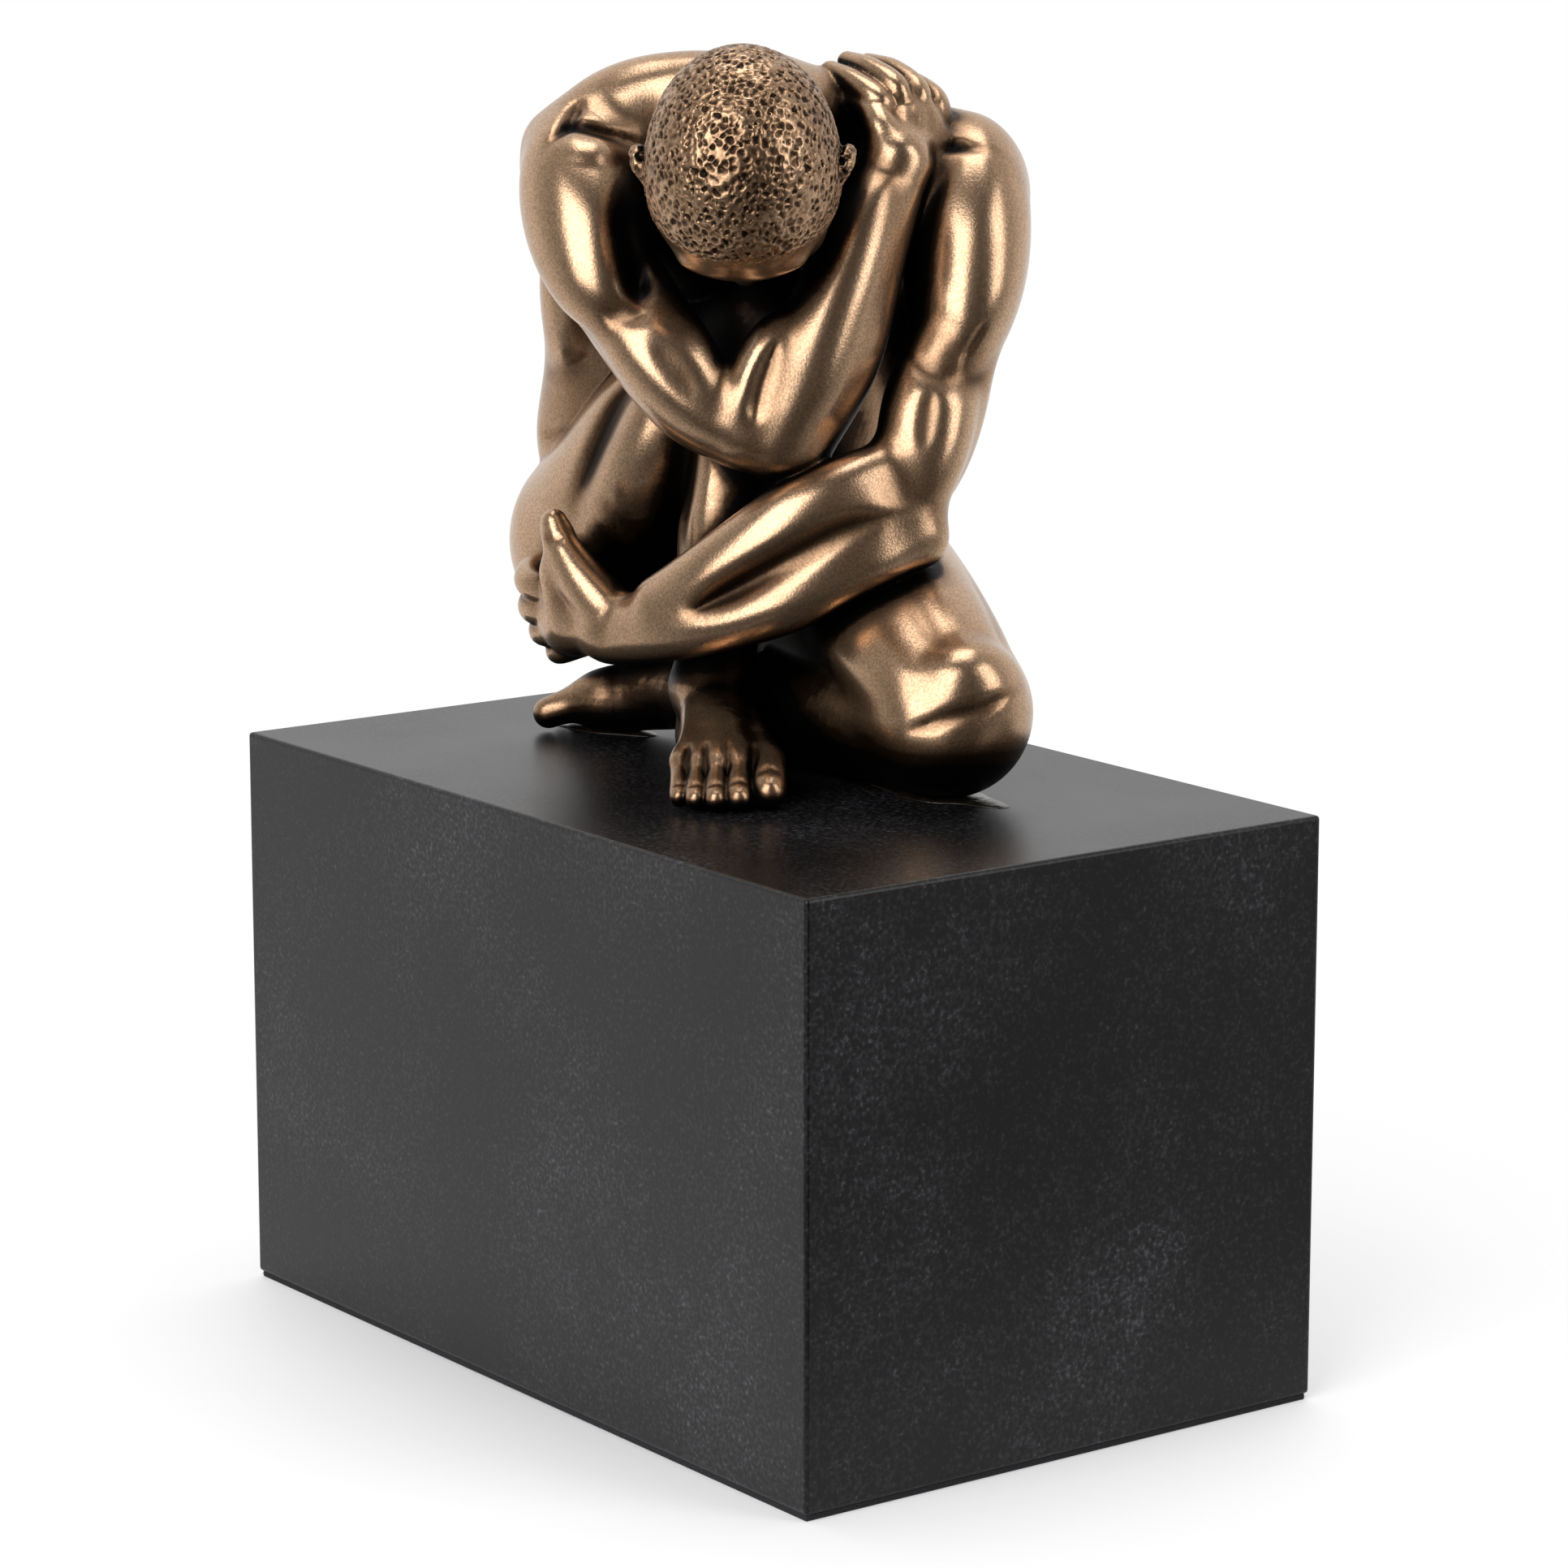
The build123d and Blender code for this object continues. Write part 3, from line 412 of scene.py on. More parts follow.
leftFoot = [
    # ankle to instep
    limb(1, (-10.2, 24.9, 8.5, 5.8), (-14, 28, 7.4, 6), (-20, 31.4, 6.2, 5.6), (-25.6, 32.8, 5.2, 4.8)),
    blob(2, (-24, 34, 4.6), (4.2, 8, 6.2), (0, 0, 1), (-1, 0.4, 0)),  # ball
    # big toe
    limb(1.4, (-24.6, 32, 5.6, 4.6), (-29, 32.8, 4.8, 3.3), (-32.2, 33.3, 3.8, 2.7), (-34.6, 33.5, 2.9, 2.5)),
    limb(0.7, (-26, 37, 4, 2.4), (-32.4, 38, 2.8, 2)),  # other toes
    limb(0.7, (-25, 40, 3.6, 2.2), (-30.4, 41.4, 2.6, 1.9)),
    limb(0.7, (-23.5, 42, 3.4, 2), (-27.8, 44, 2.4, 1.8)),
    limb(0.7, (-11, 25, 6, 5), (-7.5, 26.5, 5, 4.6)),  # heel
]

# Castings: voxel size, box, and where (place, radius) and how softly each joins the ones before it
castings = {
    "torso": {"strokes": torso, "step": 0.55, "low": (-45, -12, 3), "high": (45, 70, 113),
              "node": "torso_casting"},
    "rightLeg": {"strokes": rightLeg, "step": 0.5, "low": (-46, -12, 6), "high": (20, 62, 82),
                 "node": "right_leg_casting", "joints": ((-14, 36, 30, 16, 3),)},
    "leftLeg": {"strokes": leftLeg, "step": 0.5, "low": (-20, -38, -1), "high": (46, 62, 50),
                "node": "left_leg_casting", "joints": ((8, 34, 26, 20, 3),)},
    "rightFoot": {"strokes": rightFoot, "step": 0.3, "low": (-18, -36, -1), "high": (8, 14, 20),
                  "node": "right_foot_casting", "joints": ((-7.9, 0, 14, 9, 2.5),)},
    "leftFoot": {"strokes": leftFoot, "step": 0.35, "low": (-42, 14, -1), "high": (2, 52, 20),
                 "node": "left_foot_casting", "joints": ((-10, 25, 8.5, 9, 2.5),)},
    "rightArm": {"strokes": rightArm, "step": 0.42, "low": (-44, -24, 38), "high": (34, 32, 118),
                 "node": "right_arm_casting", "joints": ((-25, 20, 93, 18, 6),)},
    "leftArm": {"strokes": leftArm, "step": 0.42, "low": (-44, -30, 8), "high": (48, 38, 108),
                "node": "left_arm_casting", "joints": ((29, 23, 90, 17, 6),)},
    "head": {"strokes": skull, "step": 0.272, "low": (-21.5, -35, 68), "high": (16.5, 13, 115),
             "node": "head_casting", "joints": ((-1.5, -2, 95, 14, 2.5),)},
}
# Seams: how far a casting runs under its neighbours, the hairline between them, the floor they stand on
seam = {"slack": 1.2, "inset": 0.25, "crease": 0.5, "floor": 0.05, "reach": 1.6, "shut": 0.5}
patinaAndShadeParts = {  # patina and painted shade: dark in hollows (gap mm, share), near the stone, in creases, in the hair's pits
    "gaps": ((0.7, 0.3), (1.8, 0.35), (4.5, 0.35)), "nearStone": 0.17, "nearStoneTop": 20.0, "inCreases": 0.24, "onHair": 0.5,
    "inPits": 1.3,
}
hair = {  # mm: cells, ridges and pits of the net and how they vary, and the hairline
    "cell": 1.18, "ridge": 0.13, "ridgeSpread": (0.8, 0.5), "slope": 0.22, "depth": 0.36,
    "pitSpread": (1.1, 0.4), "waves": (2.1, 3.4), "warp": 0.13, "lift": 0.2, "line": -4.2,
    "lean": (0.55, 0.83), "bow": 0.02, "edge": 1.2, "band": 0.9, "stainAndShade": 0.04, "seed": 11,
}


# Close-cropped curls: a net of ridges round small pits, from the distance to the edges of scattered cells
def hairRelief(volume, body):
    rng = np.random.default_rng(hair["seed"])
    low = np.array([a[0] for a in volume.axes])
    size = np.ceil(np.array([a[-1] for a in volume.axes]) - low) / hair["cell"]
    seeds = rng.random((*(size.astype(int) + 5), 3)).astype(np.float32)
    near = np.argwhere(np.abs(body) < hair["band"])
    points = (low + near * volume.step).astype(np.float32)
    out = (points - head["centre"]) @ head["face"]
    up = (points - head["centre"]) @ head["crown"]
    inside = up * hair["lean"][0] - out * hair["lean"][1] - hair["line"] + hair["bow"] * np.abs(points[:, 0])
    mask = np.clip(inside / hair["edge"], 0, 1)
    slow, fast = (np.float32(wave) for wave in hair["waves"])
    bend = np.sin(points[:, (1, 2, 0)] * slow) + np.sin(points[:, (2, 0, 1)] * fast + 1)
    place = (points + bend * np.float32(hair["warp"]) - low) / np.float32(hair["cell"]) + 2
    home = np.floor(place).astype(int)
    first = np.full(len(points), 9, np.float32)
    second = first.copy()
    deep = first.copy()
    for i in (-1, 0, 1):
        for j in (-1, 0, 1):
            for k in (-1, 0, 1):
                cell = home + (i, j, k)
                seed = seeds[cell[:, 0], cell[:, 1], cell[:, 2]]
                far = np.linalg.norm(cell + seed - place, axis=1)
                deep = np.where(far < first, seed.sum(1) % 1, deep)
                second = np.minimum(second, np.maximum(first, far))
                first = np.minimum(first, far)
    ridge = hair["ridge"] * (hair["ridgeSpread"][0] + hair["ridgeSpread"][1] * deep)
    pit = np.clip(((second - first) * hair["cell"] - ridge) / hair["slope"], 0, 1)
    pit = pit * (hair["pitSpread"][0] - hair["pitSpread"][1] * deep)
    relief = np.zeros(body.shape, np.float32)
    relief[tuple(near.T)] = pit * mask * hair["depth"]
    lift = np.zeros(body.shape, np.float32)
    lift[tuple(near.T)] = mask * hair["lift"]
    return relief, lift


def sculpt(name):  # one casting: its share of the whole figure, its skin, and how dark its hollows are with patina and painted shade
    casting = castings[name]
    volume = Volume(casting["low"], casting["high"], casting["step"])
    x, y, z = (a.reshape(s) for a, s in zip(volume.axes, ((-1, 1, 1), (1, -1, 1), (1, 1, -1))))
    fields = {other: volume.field(c["strokes"]) for other, c in castings.items()}
    if name == "head":
        relief, lift = hairRelief(volume, fields["head"])
        fields["head"] = fields["head"] + relief - lift
    total = None
    for other, c in castings.items():
        if total is None:
            total = fields[other].copy()
            continue
        k = np.float32(seam["crease"])
        for u, v, w, radius, soft in c.get("joints", ()):
            far = np.sqrt((x - u) ** 2 + (y - v) ** 2 + (z - w) ** 2) / radius
            k = k + np.clip(seam["reach"] - far, 0, 1) * np.float32(soft - seam["crease"])
        total = smooth(total, fields[other], k)
    rest = np.min([f for other, f in fields.items() if other != name], 0)
    own = fields[name] - rest
    total = np.maximum(total, np.float32(seam["floor"]) - z)
    body = np.maximum(total + seam["inset"] * np.clip(own / seam["slack"], 0, 1), own - seam["slack"])
    for axis in range(3):
        edge = [slice(None)] * 3
        for end in (0, -1):
            edge[axis] = end
            body[tuple(edge)] = np.maximum(body[tuple(edge)], seam["shut"])
    points, quads = skin(body, volume)
    normals = slopes(total, volume, points)
    # Patina and painted shade: darker in hollows, near the stone, along the furrows and in the pits of the
    # hair
    patinaAndShade = np.zeros(len(points))
    for gap, share in patinaAndShadeParts["gaps"]:
        patinaAndShade += share * np.clip(1 - look(total, volume, points + normals * gap) / gap, 0, 1)
    patinaAndShade += patinaAndShadeParts["nearStone"] * np.clip(1 - points[:, 2] / patinaAndShadeParts["nearStoneTop"], 0, 1)
    for stroke in casting["strokes"]:
        if stroke.get("depth", 0) > 0:
            far = np.min([measure(part, *points.T.astype(np.float32)) for part in stroke["parts"]], 0)
            patinaAndShade += patinaAndShadeParts["inCreases"] * stroke["depth"] * np.exp(-(far / stroke["width"]) ** 2)
    if name == "head":
        patinaAndShade = patinaAndShade * patinaAndShadeParts["onHair"] + patinaAndShadeParts["inPits"] * look(relief, volume, points)
        patinaAndShade = patinaAndShade + look(lift, volume, points) / hair["lift"] * hair["stainAndShade"]
    return name, points, quads, patinaAndShade, cover(points, normals)


def skin(body, volume):  # surface nets: one vertex in each cell that the surface crosses
    inside = body < 0
    nx, ny, nz = body.shape
    corners = [(i, j, k) for i in (0, 1) for j in (0, 1) for k in (0, 1)]
    count = np.zeros((nx - 1, ny - 1, nz - 1), np.int8)
    for i, j, k in corners:
        count += inside[i:nx - 1 + i, j:ny - 1 + j, k:nz - 1 + k]
    cells = np.argwhere((count > 0) & (count < 8))
    values = np.array([body[cells[:, 0] + i, cells[:, 1] + j, cells[:, 2] + k] for i, j, k in corners])
    total = np.zeros((len(cells), 3))
    number = np.zeros(len(cells))
    for a in range(8):
        for b in range(a + 1, 8):
            step = np.array(corners[b]) - np.array(corners[a])
            if np.abs(step).sum() != 1:
                continue
            va, vb = values[a], values[b]
            crossed = (va < 0) != (vb < 0)
            t = np.where(crossed, va / np.where(crossed, va - vb, 1), 0)
            total += np.where(crossed[:, None], np.array(corners[a]) + t[:, None] * step, 0)
            number += crossed
    low = np.array([a[0] for a in volume.axes])
    points = low + (cells + total / number[:, None]) * volume.step
    index = np.full(count.shape, -1, np.int64)
    index[tuple(cells.T)] = np.arange(len(cells))
    quads = []
    for axis in range(3):
        here = [slice(None)] * 3
        there = [slice(None)] * 3
        here[axis], there[axis] = slice(0, -1), slice(1, None)
        first, second = inside[tuple(here)], inside[tuple(there)]
        others = [a for a in range(3) if a != axis]
        for leaving in (True, False):
            edges = np.argwhere(first & ~second if leaving else ~first & second)
            keep = np.all([(edges[:, a] > 0) & (edges[:, a] < body.shape[a] - 1) for a in others], 0)
            edges = edges[keep]
            ring = []
            for i, j in ((-1, -1), (0, -1), (0, 0), (-1, 0)):
                cell = edges.copy()
                cell[:, others[0]] += i
                cell[:, others[1]] += j
                ring.append(index[tuple(cell.T)])
            if leaving == (axis == 1):
                ring = ring[::-1]
            quads.append(np.array(ring).T)
    return points, np.concatenate(quads)


def look(body, volume, points):  # the field at any point
    low = np.array([a[0] for a in volume.axes])
    place = (points - low) / volume.step
    cell = np.clip(np.floor(place).astype(int), 0, np.array(body.shape) - 2)
    f = np.clip(place - cell, 0, 1)
    total = 0
    for i in (0, 1):
        for j in (0, 1):
            for k in (0, 1):
                share = 1
                for axis, upper in enumerate((i, j, k)):
                    share = share * (f[:, axis] if upper else 1 - f[:, axis])
                total = total + share * body[cell[:, 0] + i, cell[:, 1] + j, cell[:, 2] + k]
    return total


def slopes(body, volume, points):  # the way out of the surface at any point
    parts = []
    for axis in range(3):
        step = np.zeros(3)
        step[axis] = volume.step
        parts.append(look(body, volume, points + step) - look(body, volume, points - step))
    slope = np.array(parts).T
    return slope / np.maximum(np.linalg.norm(slope, axis=1), 1e-9)[:, None]


# Shelter, painted on the bronze as shade: the coarse box it is worked out in, how many ways it looks, and how
# far along each
sky = {"low": (-64, -60, -18), "high": (64, 88, 134), "step": 1.5, "ways": 60, "lift": 1.2, "graze": 0.1,
       "gaps": (3, 4.5, 6.5, 9, 12, 16, 21, 27, 34)}


def solidGrid():  # where the figure and the stone are, coarsely
    volume = Volume(sky["low"], sky["high"], sky["step"])
    body = np.min([volume.field(c["strokes"]) for c in castings.values()], 0)
    body = np.minimum(body, volume.axes[2])
    return volume, np.clip(0.5 - body / sky["step"], 0, 1).astype(np.float32)


def cover(points, normals):  # the share of the open sky over each point that the figure itself hides, which the bronze shows as painted shade
    volume, solid = shelter
    low = np.array([a[0] for a in volume.axes], np.float32)
    most = np.array(solid.shape) - 1
    skyShade = np.zeros(len(points), np.float32)
    total = np.full(len(points), 1e-6, np.float32)
    for i in range(sky["ways"]):  # directions spread evenly over the sphere
        height = 1 - (2 * i + 1) / sky["ways"]
        turn = i * math.pi * (3 - math.sqrt(5))
        level = math.sqrt(1 - height ** 2)
        way = np.array([level * math.cos(turn), level * math.sin(turn), height])
        weight = np.maximum(normals @ way - sky["graze"], 0).astype(np.float32)
        clear = np.ones(len(points), np.float32)
        for gap in sky["gaps"]:
            place = points + normals * sky["lift"] + way * gap - low
            cell = np.clip(np.rint(place / volume.step).astype(int), 0, most)
            clear *= 1 - solid[cell[:, 0], cell[:, 1], cell[:, 2]]
        skyShade += weight * (1 - clear)
        total += weight
    return skyShade / total


shelter = solidGrid()
with ThreadPoolExecutor(4) as pool:
    sculpted = list(pool.map(sculpt, castings))
print("stage: figure sculpted", {s[0]: len(s[1]) for s in sculpted})


# Materials
def colour(code):  # sRGB hex to linear
    parts = [int(code[i:i + 2], 16) / 255 for i in (0, 2, 4)]
    return tuple(p / 12.92 if p <= 0.04045 else ((p + 0.055) / 1.055) ** 2.4 for p in parts) + (1.0,)


def addNode(tree, kind, inputs=(), stops=(), **settings):  # stops are a colour ramp's places and colours
    node = tree.nodes.new(kind)
    for key, value in settings.items():
        setattr(node, key, value)
    for key, value in dict(inputs).items():
        if isinstance(value, bpy.types.NodeSocket):
            tree.links.new(value, node.inputs[key])
        else:
            node.inputs[key].default_value = value
    if stops:
        while len(node.color_ramp.elements) < len(stops):
            node.color_ramp.elements.new(0.5)
        for element, (place, code) in zip(node.color_ramp.elements, stops):
            element.position, element.color = place, colour(code)
    return node


def newMaterial(name):
    material = bpy.data.materials.new(name)
    material.use_nodes = True
    tree = material.node_tree
    return material, tree, tree.nodes["Principled BSDF"]


def perMetre(size):  # a noise scale from the size of its grain in mm
    return 1000 / size


# Bronze powder cast in resin, stained dark and waxed; its colour is darkened by patina and painted shade,
# bright where open and nearly black in the hollows.
# The powder is too fine to show, so its grain is drawn coarser.
bronzeLook = {
    "grain": 0.345, "cloud": 10.5, "mottle": 0.25, "flake": (0.74, 1.2), "metal": 0.92, "rough": (0.24, 0.5),
    "bump": 0.17, "bumpHeight": 0.0001,
    # painted shade: the share of the sky that is hidden darkens the bronze
    "skyShade": {"From Min": 0.33, "From Max": 0.84, "To Min": 0.0, "To Max": 0.9},
    "stainAndShade": ((0.0, "b8987a"), (0.2, "94755a"), (0.45, "3d2c1e"), (0.75, "0b0806")),
}


def bronzeMaterial():
    material, tree, shader = newMaterial("coldCastBronze")
    place = addNode(tree, "ShaderNodeTexCoord").outputs["Object"]
    patinaAndShade = addNode(tree, "ShaderNodeAttribute", attribute_name="patinaAndShade").outputs["Fac"]
    # painted shade where the figure hides the sky, added to the patina and painted shade of the hollows
    shade = addNode(tree, "ShaderNodeAttribute", attribute_name="shelter").outputs["Fac"]
    skyShade = addNode(tree, "ShaderNodeMapRange", {"Value": shade, **bronzeLook["skyShade"]}).outputs["Result"]
    depth = addNode(tree, "ShaderNodeMath", {0: patinaAndShade, 1: skyShade}, operation="ADD").outputs[0]
    grain = addNode(tree, "ShaderNodeTexNoise",
                    {"Vector": place, "Scale": perMetre(bronzeLook["grain"]), "Detail": 1.0}).outputs["Fac"]
    cloud = addNode(tree, "ShaderNodeTexNoise", {"Vector": place, "Scale": perMetre(bronzeLook["cloud"]),
                                                 "Detail": 4.0, "Roughness": 0.6}).outputs["Fac"]
    mottle = addNode(tree, "ShaderNodeMath", {0: cloud, 1: -0.5}, operation="ADD").outputs[0]
    # stain and painted shade: patina, painted shade from hollows and hidden sky, and random mottling set the
    # colour
    stainAndShade = addNode(tree, "ShaderNodeMath", {0: mottle, 1: bronzeLook["mottle"], 2: depth},
                    operation="MULTIPLY_ADD").outputs[0]
    base = addNode(tree, "ShaderNodeValToRGB", {"Fac": stainAndShade}, bronzeLook["stainAndShade"]).outputs["Color"]
    low, high = bronzeLook["flake"]
    flake = addNode(tree, "ShaderNodeMapRange", {"Value": grain, "From Min": 0.3, "From Max": 0.7,
                                                 "To Min": low, "To Max": high}).outputs["Result"]
    tint = addNode(tree, "ShaderNodeMix", {"Factor": 1.0, 6: base, 7: flake}, data_type="RGBA",
                   blend_type="MULTIPLY")
    tree.links.new(tint.outputs[2], shader.inputs["Base Color"])
    shader.inputs["Metallic"].default_value = bronzeLook["metal"]
    low, high = bronzeLook["rough"]
    rough = addNode(tree, "ShaderNodeMapRange", {"Value": stainAndShade, "From Min": 0.0, "From Max": 0.8,
                                                 "To Min": low, "To Max": high}).outputs["Result"]
    tree.links.new(rough, shader.inputs["Roughness"])
    bump = addNode(tree, "ShaderNodeBump", {"Height": grain, "Strength": bronzeLook["bump"],
                                            "Distance": bronzeLook["bumpHeight"]})
    tree.links.new(bump.outputs["Normal"], shader.inputs["Normal"])
    return material


# Black stone, sawn and honed: a dull sheen and drifts of fine pale specks, drawn coarser than real to show
stoneLook = {
    "speck": 0.667, "drift": 41.7, "rough": (0.26, 0.4), "specular": 0.32,
    "tones": ((0.0, "060607"), (0.46, "0a0a0b"), (0.66, "242427"), (0.85, "4c4c50")),
}


def stoneMaterial():
    material, tree, shader = newMaterial("blackStone")
    place = addNode(tree, "ShaderNodeTexCoord").outputs["Object"]
    speck = addNode(tree, "ShaderNodeTexNoise",
                    {"Vector": place, "Scale": perMetre(stoneLook["speck"]), "Detail": 2.0}).outputs["Fac"]
    drift = addNode(tree, "ShaderNodeTexNoise", {"Vector": place, "Scale": perMetre(stoneLook["drift"]),
                                                 "Detail": 4.0, "Roughness": 0.6}).outputs["Fac"]
    dust = addNode(tree, "ShaderNodeMath", {0: drift, 1: 0.7, 2: -0.38}, operation="MULTIPLY_ADD").outputs[0]
    spread = addNode(tree, "ShaderNodeMath", {0: speck, 1: dust}, operation="ADD").outputs[0]
    base = addNode(tree, "ShaderNodeValToRGB", {"Fac": spread}, stoneLook["tones"]).outputs["Color"]
    tree.links.new(base, shader.inputs["Base Color"])
    shader.inputs["Specular IOR Level"].default_value = stoneLook["specular"]
    low, high = stoneLook["rough"]
    rough = addNode(tree, "ShaderNodeMapRange",
                    {"Value": drift, "To Min": low, "To Max": high}).outputs["Result"]
    tree.links.new(rough, shader.inputs["Roughness"])
    return material


feltLook = {  # wool felt, matted and dyed black: no gloss, a nap of fibres
    "dark": "0d0d0f", "pale": "26262a", "grain": 0.35, "stretch": (1.0, 1.0, 2.5),
    "rough": (0.85, 1.0), "bump": 0.8, "metal": 0.0,
}
epoxyLook = {  # epoxy, squeezed out and wiped: dark and glossy, a little uneven
    "dark": "120e0b", "pale": "2a221b", "grain": 2.2, "stretch": (1.0, 1.0, 1.0),
    "rough": (0.16, 0.36), "bump": 0.25, "metal": 0.0,
}
steelLook = {  # zinc-plated steel: pale and cloudy
    "dark": "9c9fa4", "pale": "c6c8cc", "grain": 1.4, "stretch": (1.0, 1.0, 0.3),
    "rough": (0.28, 0.45), "bump": 0.1, "metal": 1.0,
}


def grainMaterial(name, finish):  # two tones in a grain whose size is in mm, and a gloss that varies with it
    material, tree, shader = newMaterial(name)
    place = addNode(tree, "ShaderNodeTexCoord").outputs["Object"]
    drawn = addNode(tree, "ShaderNodeMapping",
                    {"Vector": place, "Scale": finish["stretch"]}).outputs["Vector"]
    grain = addNode(tree, "ShaderNodeTexNoise", {"Vector": drawn, "Scale": perMetre(finish["grain"]),
                                                 "Detail": 3.0, "Roughness": 0.6}).outputs["Fac"]
    tones = ((0.3, finish["dark"]), (0.7, finish["pale"]))
    base = addNode(tree, "ShaderNodeValToRGB", {"Fac": grain}, tones).outputs["Color"]
    tree.links.new(base, shader.inputs["Base Color"])
    low, high = finish["rough"]
    rough = addNode(tree, "ShaderNodeMapRange",
                    {"Value": grain, "To Min": low, "To Max": high}).outputs["Result"]
    tree.links.new(rough, shader.inputs["Roughness"])
    height = finish["grain"] / 4000  # a quarter of the grain, in metres
    bump = addNode(tree, "ShaderNodeBump", {"Height": grain, "Strength": finish["bump"], "Distance": height})
    tree.links.new(bump.outputs["Normal"], shader.inputs["Normal"])
    shader.inputs["Metallic"].default_value = finish["metal"]
    return material


bronze = bronzeMaterial()
stone = stoneMaterial()
felt = grainMaterial("blackFelt", feltLook)
epoxy = grainMaterial("curedEpoxy", epoxyLook)
steel = grainMaterial("zincSteel", steelLook)
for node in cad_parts.values():  # what nothing replaces, the fixings, shows as the CAD has it
    node.data.materials.clear()
    node.data.materials.append(steel)


def newPiece(name, mesh, material, node):
    piece = bpy.data.objects.new(name, mesh)
    bpy.context.scene.collection.objects.link(piece)
    mesh.materials.append(material)
    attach(piece, "root")
    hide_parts(node)
    return piece


cosTurn, sinTurn = math.cos(figure["turn"]), math.sin(figure["turn"])


def toShared(points):  # from the figure's frame in mm to the shared one in metres
    u, v, w = points.T
    return np.stack([u * cosTurn - v * sinTurn, u * sinTurn + v * cosTurn, w + figure["base"]], 1) / 1000


# Each skin carries its patina with painted shade, and the hidden share of its sky, painted as shade on the
# bronze
for name, points, quads, patinaAndShade, skyShadeShare in sculpted:
    mesh = bpy.data.meshes.new(name + "Skin")
    mesh.from_pydata(toShared(points).tolist(), [], quads.tolist())
    mesh.polygons.foreach_set("use_smooth", np.ones(len(quads), bool))
    for key, value in (("patinaAndShade", patinaAndShade), ("shelter", skyShadeShare)):
        layer = mesh.attributes.new(key, "FLOAT", "POINT")
        layer.data.foreach_set("value", value.astype(np.float32))
    mesh.update()
    newPiece(name, mesh, bronze, castings[name]["node"])
print("stage: castings made")

# Plinth, felt and adhesive
plinth = {"size": (150.0, 95.0, 89.5), "foot": 1.0, "arris": 0.6, "rounds": 3}
feltSheet = {"size": (149.0, 94.0, 1.0), "foot": 0.0, "arris": 0.2, "rounds": 2}


def block(name, piece):  # a box with its edges eased
    length, width, height = piece["size"]
    mesh = bpy.data.meshes.new(name)
    tool = bmesh.new()
    bmesh.ops.create_cube(tool, size=1)
    for vertex in tool.verts:
        x, y, z = vertex.co
        vertex.co = Vector((x * length, y * width, (z + 0.5) * height + piece["foot"])) / 1000
    bmesh.ops.bevel(tool, geom=tool.edges, offset=piece["arris"] / 1000, segments=piece["rounds"],
                    affect="EDGES", profile=0.5)
    tool.to_mesh(mesh)
    tool.free()
    return mesh


newPiece("plinthBlock", block("plinthSkin", plinth), stone, "plinth")
feltPad = newPiece("feltPad", block("feltSkin", feltSheet), felt, "felt_pad")
feltLength, feltWidth, feltHeight = feltSheet["size"]
fringe = {"Width": feltLength / 1000, "Depth": feltWidth / 1000, "Height": feltHeight / 2000, "Count": 2400,
          "Length": 0.0004, "Girth": 0.00004, "Seed": 5, "Material": felt}
# Fibres: how they point and stray, and the shortest one's share of the length
fibres = {"outward": (20.0, 32.0, 0.0), "stray": (1.2, 1.2, 0.5), "shortest": 0.4}


